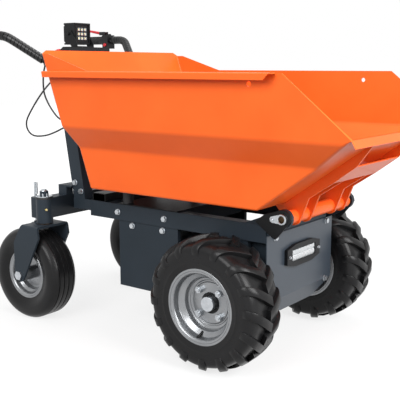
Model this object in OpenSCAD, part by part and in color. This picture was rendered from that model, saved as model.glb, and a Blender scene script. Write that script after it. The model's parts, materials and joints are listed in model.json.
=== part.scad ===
// Concrete buggy: a battery driven, walk-behind tipping barrow in millimetres.
// X points forward to the tipping end, Y to the driver's left and Z up. The origin lies on the
// ground, midway between the tub's lip and the ends of the grips. Right is the side at minus Y.

/* [Drive wheels] */
// How far the drive axle stands ahead of the origin
axle_x = 340; // [320:1:360]
// Distance between the middle planes of the two drive wheels
drive_track = 612; // [600:1:640]
// Outer diameter of the drive tyre over its lugs
drive_tyre_d = 406; // [380:1:420]
// Width of the drive tyre
drive_tyre_w = 165; // [150:1:172]
// Diameter of the drive rim's bead seat
drive_bead_d = 203; // [198:1:208]
// Height of the drive rim's flange above its bead seat
drive_flange_h = 14; // [10:0.5:16]
// Width between the drive rim's flanges
drive_rim_w = 140; // [128:1:144]
// Sheet thickness of the rims
rim_sheet = 4; // [3:0.5:5]
// Offset of the drive disc's outer face outboard of the wheel's middle
disc_offset = 18; // [12:1:24]
// Diameter of the drive shaft
shaft_d = 30; // [26:1:34]
// Diameter of the hub flange that carries the wheel
hub_d = 130; // [122:1:136]
// Thickness of the hub flange
hub_t = 12; // [8:1:16]
// Circle on which the wheel studs stand
lug_circle_d = 102; // [96:1:104]
// Number of wheel studs
lug_count = 4; // [4:1:5]
// Diameter of a wheel stud
stud_d = 12; // [10:1:14]

/* [Casters] */
// Distance from the drive axle back to the swivel axes
swivel_reach = 740; // [730:1:760]
// Distance between the two swivel axes
caster_track = 594; // [580:1:610]
// How far the caster axle trails behind its swivel axis
trail = 60; // [50:1:70]
// Outer diameter of the caster tyre
caster_tyre_d = 324; // [316:1:330]
// Width of the caster tyre
caster_tyre_w = 116; // [104:1:118]
// Diameter of the caster rim's bead seat
caster_bead_d = 152; // [146:1:158]
// Height of the caster rim's flange above its bead seat
caster_flange_h = 13; // [9:0.5:15]
// Width between the caster rim's flanges
caster_rim_w = 84; // [76:1:88]
// Diameter of the caster axle bolt
caster_axle_d = 20; // [16:1:24]
// Diameter of the swivel stem
stem_d = 30; // [26:1:32]
// Outer diameter of a swivel bush
bush_d = 40; // [38:1:44]
// Outer diameter of the swivel housing
housing_d = 58; // [57:1:64]
// Height of the swivel housing
housing_h = 89; // [80:1:95]
// Plate thickness of the caster fork
fork_plate = 8; // [6:1:10]
// Gap between the caster tyre and each fork leg
fork_gap = 7; // [5:0.5:10]
// Height of the fork's upper face above the ground
fork_top_z = 345; // [340:1:350]
// Diameter of the swivel lock pin
lock_pin_d = 10; // [8:0.5:12]

/* [Frame] */
// Width over the two rails
frame_w = 410; // [396:1:420]
// Width of one rail
rail_w = 40; // [34:1:44]
// Height of one rail
rail_h = 54; // [48:1:58]
// Height of the rails' underside above the ground
rail_z = 375; // [372:1:378]
// Position of the rails' rear ends
rail_rear_x = -266; // [-272:1:-260]
// Position of the front cross member's front face
frame_front_x = 453; // [449:1:457]
// Wall thickness of the frame tubes
tube_wall = 4; // [3:0.5:5]
// Fore and aft depth of the rear beam
beam_w = 50; // [44:1:56]
// Height of the rear beam
beam_h = 71; // [60:1:74]
// Thickness of the pivot ears
ear_t = 12; // [10:1:14]
// Diameter of the tub's pivot pin
pivot_pin_d = 24; // [20:1:26]
// Thickness of the front plate
front_plate_t = 4; // [3:0.5:6]
// Height of the front plate's lower edge above the ground
front_plate_z = 141; // [135:1:150]

/* [Mast] */
// Position of the mast's rear face at the height of the rails' underside
mast_x = -338; // [-342:1:-334]
// Angle at which the mast leans back
mast_lean = 9.5; // [8.5:0.25:10.5]
// Fore and aft depth of an upright
mast_w = 55; // [50:1:58]
// Height of the mast's top above the ground
mast_top_z = 868; // [862:1:872]
// Height of the console's top above the ground
console_z = 957; // [954:1:960]
// Width of the console
console_w = 208; // [200:1:220]

/* [Handlebars] */
// Height of the grips' axes above the ground
grip_z = 993; // [985:1:1000]
// Distance between the axes of the two grips
grip_span = 610; // [600:1:620]
// Diameter of the handlebar tube
bar_d = 22; // [20:0.5:24]
// Bend radius of the handlebar at its centre line
bar_bend_r = 70; // [60:1:80]
// Angle by which the bar bends down to the mast
bar_slope = 46; // [44:0.5:48]
// Angle by which the sloping run leans in to the mast
bar_splay = 42; // [40:0.5:44]
// Length of a grip
grip_l = 115; // [105:1:120]
// Diameter of a grip
grip_d = 33; // [30:0.5:35]
// Turns of the spiral wrap on each bar
wrap_turns = 20; // [16:1:22]
// Thickness of the spiral wrap's band
wrap_t = 3; // [2:0.25:3.5]
// Width of the spiral wrap's band
wrap_w = 8; // [6:0.5:9]

/* [Tub] */
// Width over the tub's upper sides
tub_w = 704; // [690:1:716]
// Width over the tub's lower sides
floor_w = 602; // [590:1:614]
// Height of the tub floor's underside above the ground
floor_z = 490; // [486:1:496]
// Height of the lower knee, where the sides start to spread
low_knee_z = 623; // [610:1:640]
// Height of the upper knee, where the sides stand upright again
knee_z = 695; // [680:1:705]
// Height of the level rim
rim_z = 872; // [855:1:890]
// Height of the splash guard at the rear
guard_z = 938; // [925:1:945]
// Position of the floor's rear edge
floor_rear_x = -164; // [-170:1:-156]
// Position of the floor's front edge
floor_front_x = 480; // [474:1:486]
// Angle at which the rear panel leans back
rear_lean = 18.6; // [17:0.2:19.4]
// Angle at which the chute rises to the lip
chute_angle = 35.3; // [34:0.1:36.5]
// Position of the fold at the chute's lip
lip_x = 788; // [778:1:796]
// Position of the level rim's front end
rim_front_x = 583; // [570:1:600]
// Position of the level rim's rear end, where the guard's wing begins
wing_x = -116; // [-140:1:-90]
// Sheet thickness of the tub
sheet = 3; // [2:0.5:5]
// Width of the flange folded out along the rim
flange_w = 33; // [26:1:36]
// Depth of the rim flange's hem
flange_drop = 19; // [14:1:24]
// Depth of the fold below the chute's lip
lip_drop = 21; // [16:1:26]
// Position of the tipping pivot
pivot_x = 510; // [506:1:514]
// Height of the tipping pivot above the ground
pivot_z = 455; // [453:1:458]
// Outer diameter of the pivot tube under the tub
pivot_tube_d = 42; // [38:1:44]
// Distance between the outer chute ribs
rib_span = 294; // [280:1:310]
// Plate thickness of the chute ribs
rib_t = 5; // [4:0.5:7]
// Depth of the chute ribs below the chute
rib_depth = 30; // [24:1:34]

/* [Battery bay] */
// Position of the battery box's rear wall
box_rear_x = -136; // [-142:1:-130]
// Length of the battery box
box_l = 255; // [250:1:260]
// Height of the battery box's underside above the ground
box_z = 146; // [140:1:155]
// Sheet thickness of the battery box
box_sheet = 3; // [2:0.5:4]
// Length of one battery, across the buggy
battery_l = 190; // [180:1:196]
// Width of one battery, along the buggy
battery_w = 118; // [110:1:122]
// Height of one battery
battery_h = 175; // [160:1:185]

/* [Lights] */
// Face size of the square work light
pod_size = 78; // [72:1:82]
// Depth of the work light
pod_depth = 58; // [50:1:62]
// Sideways place of the work light
pod_y = -20; // [-24:1:-16]
// Width of the front light's frame
front_light_w = 205; // [190:1:215]
// Height of the front light's frame
front_light_h = 72; // [64:1:78]
// Height of the front light's centre above the ground
front_light_z = 312; // [306:1:318]

/* [Fits] */
// Radial clearance of a running fit
run_fit = 0.05; // [0.02:0.01:0.08]
// Gap between moving pieces that do not touch
free_gap = 0.5; // [0.4:0.1:1]

/* [Hidden] */
$fn = 64;

RIGHT = -1;
LEFT = 1;

// Paints as the object shows them
tub_paint = "#f26a2a";
frame_paint = "#353c44";
black_paint = "#1c1d1f";
zinc = "#b9bcc0";
rubber = "#232427";
silver_paint = "#a9abad";

// Heights and places that several pieces share
drive_r = drive_tyre_d / 2;
caster_r = caster_tyre_d / 2;
swivel_x = axle_x - swivel_reach;
swivel_y = caster_track / 2;
caster_x = swivel_x - trail;
frame_half = frame_w / 2;
box_front_x = box_rear_x + box_l;
rail_top = rail_z + rail_h;
front_lap = 21;
front_plate_top = rail_z + front_lap;
bush_flange_t = 3;
housing_z = fork_top_z + bush_flange_t;
housing_top = housing_z + housing_h;
beam_top = housing_top;
beam_z = beam_top - beam_h;
tub_half = tub_w / 2;
floor_half = floor_w / 2;
grip_half = grip_span / 2;
// How far a cut runs past the face that it opens
over = 1;

function on_circle(x, z, r, angle) = [x + r * cos(angle), z + r * sin(angle)];

// Shapes laid in an upright plane

module plate_xz(points, y0, y1) {
  translate([0, y1, 0])
    rotate([90, 0, 0])
      linear_extrude(y1 - y0)
        polygon(points);
}

module plate_yz(points, x0, x1) {
  translate([x0, 0, 0])
    rotate([90, 0, 90])
      linear_extrude(x1 - x0)
        polygon(points);
}

module bar_y(d, x, z, y0, y1) {
  translate([x, y1, z])
    rotate([90, 0, 0])
      cylinder(d = d, h = y1 - y0);
}

module bar_x(d, y, z, x0, x1) {
  translate([x0, y, z])
    rotate([0, 90, 0])
      cylinder(d = d, h = x1 - x0);
}

module block(x0, x1, y0, y1, z0, z1) {
  translate([x0, y0, z0])
    cube([x1 - x0, y1 - y0, z1 - z0]);
}

module both_sides() {
  children();
  mirror([0, 1, 0])
    children();
}

// A hexagon bolt head on its washer, along plus Z
bolt_washer = 2;
bolt_d = 10;
washer_ratio = 2;
head_ratio = 1.8;
head_rise = 0.65;

module bolt_head(d) {
  cylinder(d = washer_ratio * d, h = bolt_washer);
  cylinder(d = head_ratio * d, h = bolt_washer + head_rise * d, $fn = 6);
}

// Main frame

ear_clear = 23;
ear_half = frame_half - rail_w + ear_clear + ear_t;
ear_tip_r = 27;
ear_root_l = 75;
ear_toe = [20, 6];
rest_in = 13;
rest_x = rail_rear_x + rest_in;
rest_l = 58;
tie_w = 40;
tie_drop = 10;
mid_member_l = 40;
front_member_l = 40;

module rail() {
  difference() {
    block(rail_rear_x, frame_front_x, frame_half - rail_w, frame_half, rail_z, rail_top);
    block(rail_rear_x - over, frame_front_x + over, frame_half - rail_w + tube_wall, frame_half - tube_wall,
      rail_z + tube_wall, rail_top - tube_wall);
  }
}

// The part of the rail behind the step, which carries the mast
module rail_tail() {
  block(mast_tail_x, rail_rear_x, frame_half - rail_w, frame_half, rail_z + tail_step, rail_top);
}
tail_step = 17;
tail_lap = 2;
mast_tail_x = mast_rear(rail_top) - tail_lap;

module tie_bar() {
  block(swivel_x + beam_w / 2, rail_rear_x + tie_overlap, frame_half - rail_w - tie_w, frame_half - rail_w,
    rail_z + tie_drop, rail_top);
}
tie_overlap = 90;

module pivot_ear() {
  difference() {
    union() {
      plate_xz([
        [frame_front_x - ear_root_l, rail_top],
        on_circle(pivot_x, pivot_z, ear_tip_r, 120),
        on_circle(pivot_x, pivot_z, ear_tip_r, -37),
        [frame_front_x + ear_toe[0], front_plate_top + ear_toe[1]],
        [frame_front_x, front_plate_top],
        [frame_front_x, rail_z],
        [frame_front_x - ear_root_l, rail_z]
      ], ear_half - ear_t, ear_half);
      bar_y(2 * ear_tip_r, pivot_x, pivot_z, ear_half - ear_t, ear_half);
    }
    bar_y(pivot_pin_d, pivot_x, pivot_z, ear_half - ear_t - over, ear_half + over);
  }
}

// Corner plate under the rail, behind the front plate
gusset = [103, 6, 135];

module front_gusset() {
  plate_xz([
    [frame_front_x - gusset[0], rail_z],
    [frame_front_x, rail_z],
    [frame_front_x, rail_z - gusset[2]]
  ], frame_half - rail_w, frame_half - rail_w + gusset[1]);
}

module cross_member(x0, x1) {
  block(x0, x1, rail_w - frame_half, frame_half - rail_w, rail_z, rail_top);
}

module main_frame() {
  color(frame_paint) {
    both_sides() {
      rail();
      rail_tail();
      tie_bar();
      axle_hanger();
      pivot_ear();
      front_gusset();
    }
    cross_member(frame_front_x - front_member_l, frame_front_x);
    cross_member(box_front_x - mid_member_l, box_front_x);
    cross_member(rest_x, rest_x + rest_l);
  }
}

// Rear beam with its swivel housings and lock tubes

lock_tube_d = 32;
lock_tube_drop = 3;
lock_tube_rise = 14;
lock_offset = housing_d / 2 + lock_tube_d / 2;
lock_tube_z = housing_z + lock_tube_rise;
lock_tube_top = housing_top - lock_tube_drop;

module swivel_housing() {
  translate([swivel_x, swivel_y, housing_z])
    cylinder(d = housing_d, h = housing_h);
  translate([swivel_x - lock_offset, swivel_y, lock_tube_z])
    cylinder(d = lock_tube_d, h = lock_tube_top - lock_tube_z);
  block(swivel_x - lock_offset, swivel_x, swivel_y - lock_tube_d / 2, swivel_y + lock_tube_d / 2,
    lock_tube_z, lock_tube_top);
}

module swivel_bores() {
  translate([swivel_x, swivel_y, housing_z - over])
    cylinder(d = bush_d, h = housing_h + 2 * over);
  translate([swivel_x - lock_offset, swivel_y, lock_tube_z - over])
    cylinder(d = lock_pin_d + 2 * run_fit, h = lock_tube_top - lock_tube_z + 2 * over);
}

module rear_beam() {
  color(frame_paint)
    difference() {
      union() {
        block(swivel_x - beam_w / 2, swivel_x + beam_w / 2, -swivel_y, swivel_y, beam_z, beam_top);
        both_sides()
          swivel_housing();
      }
      both_sides()
        swivel_bores();
      block(swivel_x - beam_w / 2 + tube_wall, swivel_x + beam_w / 2 - tube_wall, housing_d / 2 - swivel_y,
        swivel_y - housing_d / 2, beam_z + tube_wall, beam_top - tube_wall);
    }
}

// Flanged bushes, two in each swivel housing
bush_l = 30;
bush_flange_w = 8;

module swivel_bush() {
  rotate_extrude()
    polygon([
      [stem_d / 2 + run_fit, -bush_flange_t],
      [bush_d / 2 + bush_flange_w, -bush_flange_t],
      [bush_d / 2 + bush_flange_w, 0],
      [bush_d / 2, 0],
      [bush_d / 2, bush_l],
      [stem_d / 2 + run_fit, bush_l]
    ]);
}

module swivel_bushes() {
  color("#b08d4a")
    both_sides()
      translate([swivel_x, swivel_y, 0]) {
        translate([0, 0, housing_z])
          swivel_bush();
        translate([0, 0, housing_top])
          mirror([0, 0, 1])
            swivel_bush();
      }
}

// Grease nipples on the front of the swivel housings
nipple_z = 50;
nipple_turn = 30;
nipple_hex = [9, 4];
nipple_stem = [5, 12];
nipple_ball_d = 6.5;

module grease_nipples() {
  color("#c9a24a")
    both_sides()
      translate([swivel_x, swivel_y, housing_z + nipple_z])
        rotate([0, 0, nipple_turn])
          rotate([0, 90, 0])
            translate([0, 0, housing_d / 2]) {
              cylinder(d = nipple_hex[0], h = nipple_hex[1], $fn = 6);
              cylinder(d = nipple_stem[0], h = nipple_stem[1]);
              translate([0, 0, nipple_stem[1] - over])
                sphere(d = nipple_ball_d);
            }
}

// Mast

function mast_rear(z) = mast_x - (z - rail_z) * tan(mast_lean);
function mast_slice(z0, z1, in = 0) = [
  [mast_rear(z0) + in, z0],
  [mast_rear(z0) + mast_w - in, z0],
  [mast_rear(z1) + mast_w - in, z1],
  [mast_rear(z1) + in, z1]
];
mast_block_h = 60;
bridge_t = 6;
bridge_end = 82;
bridge_half = swivel_y - bridge_end;
bridge_leg = 31;
bridge_back = 15;
bridge_lap = 4;
bridge_rise = 35;
bridge_top = beam_top + bridge_rise;
bridge_front_h = 23;
mast_panel_z = 560;
mast_panel_h = 180;
mast_panel_t = 4;
mast_tie_z = 800;

module upright() {
  difference() {
    plate_xz(mast_slice(rail_top, mast_top_z), frame_half - rail_w, frame_half);
    plate_xz(mast_slice(rail_top - over, mast_top_z - mast_block_h, tube_wall),
      frame_half - rail_w + tube_wall, frame_half - tube_wall);
  }
}

// Channel across the beam, with a leg at each end
module mast_bridge() {
  bridge_front = mast_rear(bridge_top) + bridge_lap;
  block(swivel_x - bridge_back, bridge_front, -bridge_half, bridge_half, bridge_top - bridge_t, bridge_top);
  block(bridge_front - bridge_t, bridge_front, rail_w - frame_half, frame_half - rail_w,
    bridge_top - bridge_front_h, bridge_top);
  both_sides()
    block(swivel_x - bridge_back, swivel_x + beam_w / 2, bridge_half - bridge_leg, bridge_half,
      beam_top, bridge_top);
}

module mast() {
  color(frame_paint)
    difference() {
      union() {
        both_sides()
          upright();
        mast_bridge();
        plate_xz([
          [mast_rear(mast_panel_z), mast_panel_z],
          [mast_rear(mast_panel_z) + mast_panel_t, mast_panel_z],
          [mast_rear(mast_panel_z + mast_panel_h) + mast_panel_t, mast_panel_z + mast_panel_h],
          [mast_rear(mast_panel_z + mast_panel_h), mast_panel_z + mast_panel_h]
        ], rail_w - frame_half, frame_half - rail_w);
        plate_xz(mast_slice(mast_tie_z, mast_top_z), rail_w - frame_half, frame_half - rail_w);
      }
      both_sides()
        bar_run(bar_d);
    }
  color(black_paint)
    for (face = [upper_route[len(upper_route) - 1], lower_route[0], lower_route[len(lower_route) - 1]])
      translate(gland_line + face)
        rotate([0, 90 - mast_lean, 0])
          cylinder(d = gland_d, h = gland_l);
}

// Front plate with its folded lower edge and cut corners

front_edge = 1;
front_plate_half = frame_half - front_edge;
front_bend_z = 190;
front_fold_run = 14;
front_corner = 106;
light_hole_w = 150;
light_hole_h = 44;
front_bolt_y = 160;

module front_plate() {
  color(frame_paint)
    difference() {
      intersection() {
        plate_xz([
          [frame_front_x, front_plate_top],
          [frame_front_x + front_plate_t, front_plate_top],
          [frame_front_x + front_plate_t, front_bend_z],
          [frame_front_x + front_plate_t - front_fold_run, front_plate_z],
          [frame_front_x - front_fold_run, front_plate_z],
          [frame_front_x, front_bend_z]
        ], -front_plate_half, front_plate_half);
        plate_yz([
          [-front_plate_half, front_plate_top],
          [front_plate_half, front_plate_top],
          [front_plate_half, front_bend_z],
          [front_plate_half - front_corner, front_plate_z],
          [front_corner - front_plate_half, front_plate_z],
          [-front_plate_half, front_bend_z]
        ], frame_front_x - front_fold_run - over, frame_front_x + front_plate_t + over);
      }
      block(frame_front_x - over, frame_front_x + front_plate_t + over, -light_hole_w / 2, light_hole_w / 2,
        front_light_z - light_hole_h / 2, front_light_z + light_hole_h / 2);
    }
}

// Front light: a frame with a body that passes through the plate, and its lens

front_face_x = frame_front_x + front_plate_t;
light_frame_t = 12;
light_end_h = 48;
light_flat_w = 102;
light_body_l = 44;
light_body_play = 0.5;
light_body_back = 6;
lens_inset = 4;
lens_depth = 10;

module front_light_frame() {
  half_w = front_light_w / 2;
  half_h = front_light_h / 2;
  body_half_w = light_hole_w / 2 - light_body_play;
  body_half_h = light_hole_h / 2 - light_body_play;
  color(black_paint)
    difference() {
      union() {
        plate_yz([
          [-half_w, front_light_z - light_end_h / 2],
          [-light_flat_w / 2, front_light_z - half_h],
          [light_flat_w / 2, front_light_z - half_h],
          [half_w, front_light_z - light_end_h / 2],
          [half_w, front_light_z + light_end_h / 2],
          [light_flat_w / 2, front_light_z + half_h],
          [-light_flat_w / 2, front_light_z + half_h],
          [-half_w, front_light_z + light_end_h / 2]
        ], front_face_x, front_face_x + light_frame_t);
        block(front_face_x - light_body_l, front_face_x, -body_half_w, body_half_w,
          front_light_z - body_half_h, front_light_z + body_half_h);
      }
      block(front_face_x - light_body_l + light_body_back, front_face_x + light_frame_t + over,
        lens_inset - light_hole_w / 2, light_hole_w / 2 - lens_inset,
        front_light_z + lens_inset - light_hole_h / 2, front_light_z - lens_inset + light_hole_h / 2);
    }
}

module front_light_lens() {
  color("#eef2f4")
    block(front_face_x - lens_depth, front_face_x + light_frame_t - lens_inset,
      lens_inset - light_hole_w / 2, light_hole_w / 2 - lens_inset,
      front_light_z + lens_inset - light_hole_h / 2, front_light_z - lens_inset + light_hole_h / 2);
}

// Bolts of the frame and the front light

rail_bolt_in = [131, 334];
rail_bolt_z = rail_z + rail_h / 2;
box_bolt_in = 62;
box_bolt_drop = 14;
box_bolt_x = [box_rear_x + box_bolt_in, box_rear_x + box_l - box_bolt_in];
box_bolt_z = rail_z - box_bolt_drop;
mast_bolt_places = [[18, 55], [41, 26]];
mast_bolts = [for (p = mast_bolt_places) [mast_rear(rail_top + p[1]) + p[0], rail_top + p[1]]];
front_bolt_drop = 10;
front_bolts = [[front_bolt_y, front_plate_top - front_bolt_drop], [front_bolt_y, front_bend_z]];
screw_d = 5;
light_screw_in = 12;

module side_bolt(x, z, y) {
  translate([x, y, z])
    rotate([-90, 0, 0])
      bolt_head(bolt_d);
}

module front_bolt(y, z, x, d) {
  translate([x, y, z])
    rotate([0, 90, 0])
      bolt_head(d);
}

module frame_bolts() {
  color(zinc)
    both_sides() {
      for (in = rail_bolt_in)
        side_bolt(rail_rear_x + in, rail_bolt_z, frame_half);
      for (x = box_bolt_x)
        side_bolt(x, box_bolt_z, box_half);
      for (p = mast_bolts)
        side_bolt(p[0], p[1], frame_half);
      for (p = front_bolts)
        front_bolt(p[0], p[1], front_face_x, bolt_d);
      front_bolt(front_light_w / 2 - light_screw_in, front_light_z, front_face_x + light_frame_t, screw_d);
    }
}

// Battery bay

box_side_gap = 5;
box_half = frame_half - box_side_gap;
box_top = rail_z;
battery_gap = 2;
battery_rows = floor((box_l - 2 * box_sheet + battery_gap) / (battery_w + battery_gap));
battery_columns = floor((2 * box_half - 2 * box_sheet + battery_gap) / (battery_l + battery_gap));
cable_way = 15;
lid_t = 3;
lid_edge = 2;
terminal_d = 16;
terminal_h = 12;
terminal_in = 38;

module battery_box() {
  color(frame_paint)
    difference() {
      block(box_rear_x, box_front_x, -box_half, box_half, box_z, box_top);
      block(box_rear_x + box_sheet, box_front_x - box_sheet, box_sheet - box_half, box_half - box_sheet,
        box_z + box_sheet, box_top + over);
      block(box_front_x - box_sheet - over, box_front_x + over, cable_way - box_half, box_half - cable_way,
        controller_z + controller_h, box_top + over);
    }
}

// As many batteries as the box has room for, in rows about its middle
module batteries() {
  color("#2b2e33")
    for (row = [0:battery_rows - 1], column = [0:battery_columns - 1])
      translate([
        box_rear_x + box_l / 2 + (row - battery_rows / 2) * (battery_w + battery_gap) + battery_gap / 2,
        (column - battery_columns / 2) * (battery_l + battery_gap) + battery_gap / 2,
        box_z + box_sheet
      ]) {
        cube([battery_w, battery_l, battery_h]);
        for (y = [terminal_in, battery_l - terminal_in])
          translate([battery_w / 2, y, battery_h])
            cylinder(d = terminal_d, h = terminal_h);
      }
}

module battery_lid() {
  color(black_paint)
    block(box_rear_x, box_front_x, lid_edge - frame_half, frame_half - lid_edge, rail_top, rail_top + lid_t);
}

// Cross tube with the spring catch, and the buffers under the tub's floor

rest_h = 28;
rest_top = rail_top + rest_h;
buffer_d = 36;
buffer_inset = 30;
catch_x = rest_x + rest_l / 2;
catch_t = 3;
catch_w = 40;
striker_d = 14;
striker_z = rest_top + catch_t + free_gap + striker_d / 2;

module rest_beam() {
  color(black_paint)
    difference() {
      block(rest_x, rest_x + rest_l, -frame_half, frame_half, rail_top, rest_top);
      block(rest_x + tube_wall, rest_x + rest_l - tube_wall, -frame_half - over, frame_half + over,
        rail_top + tube_wall, rest_top - tube_wall);
    }
}

// Rubber buffers on the lid, above the rails
module rest_buffers() {
  color(rubber)
    both_sides()
      translate([box_rear_x + buffer_inset, frame_half - rail_w / 2, rail_top + lid_t])
        cylinder(d = buffer_d, h = floor_z - rail_top - lid_t);
}

// A spring clip, open at the top, that holds the tub's striker bar
module tub_catch() {
  gap = striker_d / 2 + free_gap;
  color(zinc) {
    block(catch_x - gap - catch_t, catch_x + gap + catch_t, -catch_w / 2, catch_w / 2,
      rest_top, rest_top + catch_t);
    for (side = [0, 1])
      mirror([side, 0, 0])
        translate([side == 0 ? catch_x : -catch_x, 0, 0])
          block(gap, gap + catch_t, -catch_w / 2, catch_w / 2, rest_top, striker_z + striker_d);
  }
}

// Drive: gear case with axle tubes, motor and controller

case_l = 124;
case_w = 124;
case_h = 124;
axle_tube_d = 56;
axle_tube_end = frame_half - box_side_gap;
motor_d = 120;
motor_gap = 33;
motor_l = axle_x - case_l / 2 - box_front_x - motor_gap;
motor_cap_l = 30;
motor_groove_pitch = 16;
motor_groove_w = 6;
motor_groove_d = 5;
motor_groove_count = floor((motor_l - motor_cap_l - motor_groove_w) / motor_groove_pitch);
controller_l = 46;
controller_w = 170;
controller_z = 272;
controller_h = 56;
fin_count = 8;
fin_depth = 16;
hanger_w = 96;
hanger_t = 14;
hanger_drop = 46;

module shaft_bore() {
  bar_y(shaft_d + 2 * run_fit, axle_x, drive_r, -axle_tube_end - over, axle_tube_end + over);
}

module transaxle() {
  color("#7d8186")
    difference() {
      union() {
        block(axle_x - case_l / 2, axle_x + case_l / 2, -case_w / 2, case_w / 2, drive_r - case_h / 2,
          drive_r + case_h / 2);
        bar_y(axle_tube_d, axle_x, drive_r, -axle_tube_end, axle_tube_end);
      }
      shaft_bore();
    }
}

// Plates that hang the axle tubes from the rails
module axle_hanger() {
  difference() {
    block(axle_x - hanger_w / 2, axle_x + hanger_w / 2, axle_tube_end - hanger_t, axle_tube_end,
      drive_r - hanger_drop, rail_z);
    bar_y(axle_tube_d, axle_x, drive_r, axle_tube_end - hanger_t - over, axle_tube_end + over);
  }
}

module drive_motor() {
  color(black_paint)
    difference() {
      bar_x(motor_d, 0, drive_r, axle_x - case_l / 2 - motor_l, axle_x - case_l / 2);
      for (i = [0:motor_groove_count - 1])
        translate([axle_x - case_l / 2 - motor_l + motor_cap_l + i * motor_groove_pitch, 0, drive_r])
          rotate([0, 90, 0])
            difference() {
              cylinder(d = motor_d + 2 * over, h = motor_groove_w);
              translate([0, 0, -over])
                cylinder(d = motor_d - 2 * motor_groove_d, h = motor_groove_w + 2 * over);
            }
    }
}

// Controller on the box's front wall, with cooling fins
module motor_controller() {
  fin = controller_w / (2 * fin_count + 1);
  color("#9a9da1")
    difference() {
      block(box_front_x, box_front_x + controller_l, -controller_w / 2, controller_w / 2, controller_z,
        controller_z + controller_h);
      for (i = [0:fin_count - 1])
        block(box_front_x + controller_l - fin_depth, box_front_x + controller_l + over,
          (2 * i + 1) * fin - controller_w / 2, (2 * i + 2) * fin - controller_w / 2,
          controller_z - over, controller_z + controller_h + over);
    }
}

// Charging socket with its cap on the box's rear wall
socket_in = 80;
socket_y = socket_in - box_half;
socket_z = 310;
socket_flange = [52, 4];
socket_cap = [42, 22];

module charge_socket() {
  color(black_paint)
    translate([box_rear_x, socket_y, socket_z])
      rotate([0, -90, 0]) {
        cylinder(d = socket_flange[0], h = socket_flange[1]);
        cylinder(d = socket_cap[0], h = socket_cap[1]);
      }
}

// Tipping pivot: the pin in the ears and the tube with its bushes under the tub

pivot_bush_d = 34;
pivot_flange_t = 3;
pivot_washer_d = 44;
pivot_washer_t = 3;
pivot_nut_d = 38;
pivot_nut_h = 11;
pivot_tube_half = ear_half - ear_t - free_gap - pivot_flange_t;

module pivot_pin() {
  color(zinc) {
    bar_y(pivot_pin_d, pivot_x, pivot_z, -ear_half, ear_half);
    both_sides() {
      bar_y(pivot_washer_d, pivot_x, pivot_z, ear_half, ear_half + pivot_washer_t);
      translate([pivot_x, ear_half + pivot_washer_t, pivot_z])
        rotate([-90, 0, 0])
          cylinder(d = pivot_nut_d, h = pivot_nut_h, $fn = 6);
      bar_y(pivot_pin_d, pivot_x, pivot_z, ear_half, ear_half + 2 * pivot_washer_t + pivot_nut_h);
    }
  }
}

module pivot_tube() {
  color(tub_paint)
    difference() {
      bar_y(pivot_tube_d, pivot_x, pivot_z, -pivot_tube_half, pivot_tube_half);
      bar_y(pivot_bush_d, pivot_x, pivot_z, -pivot_tube_half - over, pivot_tube_half + over);
    }
}

module pivot_bushes() {
  color("#b08d4a")
    both_sides()
      translate([pivot_x, pivot_tube_half, pivot_z])
        rotate([-90, 0, 0])
          rotate_extrude()
            polygon([
              [pivot_pin_d / 2 + run_fit, pivot_flange_t],
              [pivot_tube_d / 2, pivot_flange_t],
              [pivot_tube_d / 2, 0],
              [pivot_bush_d / 2, 0],
              [pivot_bush_d / 2, -bush_l],
              [pivot_pin_d / 2 + run_fit, -bush_l]
            ]);
}

// Tub: a cross section met with a side profile, less the same one sheet smaller

band_half = atan((tub_half - floor_half) / (knee_z - low_knee_z)) / 2;
rear_shift = sheet / cos(rear_lean);
chute_shift = sheet / cos(chute_angle);
cut_past = 60;

function rear_x(z) = floor_rear_x - (z - floor_z) * tan(rear_lean);
function chute_z(x) = floor_z + (x - floor_front_x) * tan(chute_angle);
function under_chute(x, depth) = [x + depth * sin(chute_angle), chute_z(x) - depth * cos(chute_angle)];
function tub_section(in, top) = [
  [-tub_half + in, top],
  [-tub_half + in, knee_z + in * tan(band_half)],
  [-floor_half + in, low_knee_z + in * tan(band_half)],
  [-floor_half + in, floor_z + in],
  [floor_half - in, floor_z + in],
  [floor_half - in, low_knee_z + in * tan(band_half)],
  [tub_half - in, knee_z + in * tan(band_half)],
  [tub_half - in, top]
];

lip_lean = 23.3;
lip_run = lip_drop * tan(lip_lean);
flange_end = 17;
flange_rear_x = rear_x(rim_z);
flange_front_x = rim_front_x - flange_end;
flange_rear_cut = 4;
guard_cut = [21, 11];
hook_hole_d = 14;
hook_hole_in = [99, 30];
hook_hole_x = rim_front_x - hook_hole_in[0];
hook_hole_z = rim_z - hook_hole_in[1];
striker_rise = 40;
striker_cheek_t = 8;

module tub_outside() {
  intersection() {
    plate_yz(tub_section(0, guard_z), rear_x(guard_z) - over, lip_x);
    plate_xz([
      [floor_rear_x, floor_z],
      [floor_front_x, floor_z],
      [lip_x, chute_z(lip_x)],
      [rim_front_x, rim_z],
      [wing_x, rim_z],
      [rear_x(guard_z) + rear_shift, guard_z],
      [rear_x(guard_z), guard_z]
    ], -tub_half, tub_half);
  }
}

module tub_inside() {
  top = guard_z + cut_past;
  front = lip_x + cut_past;
  intersection() {
    plate_yz(tub_section(sheet, top), rear_x(top) - over, front);
    plate_xz([
      [rear_x(floor_z + sheet) + rear_shift, floor_z + sheet],
      [floor_front_x + (sheet - chute_shift) / tan(chute_angle), floor_z + sheet],
      [front, chute_z(front) + chute_shift],
      [front, top],
      [rear_x(top) + rear_shift, top]
    ], -tub_half, tub_half);
  }
}

// Flange folded out along the rim, with a hem cut back at its front end
module rim_flange() {
  block(flange_rear_x, flange_front_x, tub_half, tub_half + flange_w, rim_z - sheet, rim_z);
  plate_xz([
    [flange_rear_x, rim_z],
    [flange_front_x, rim_z],
    [flange_front_x - flange_drop, rim_z - flange_drop],
    [flange_rear_x + flange_rear_cut, rim_z - flange_drop]
  ], tub_half + flange_w - sheet, tub_half + flange_w);
}

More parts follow.
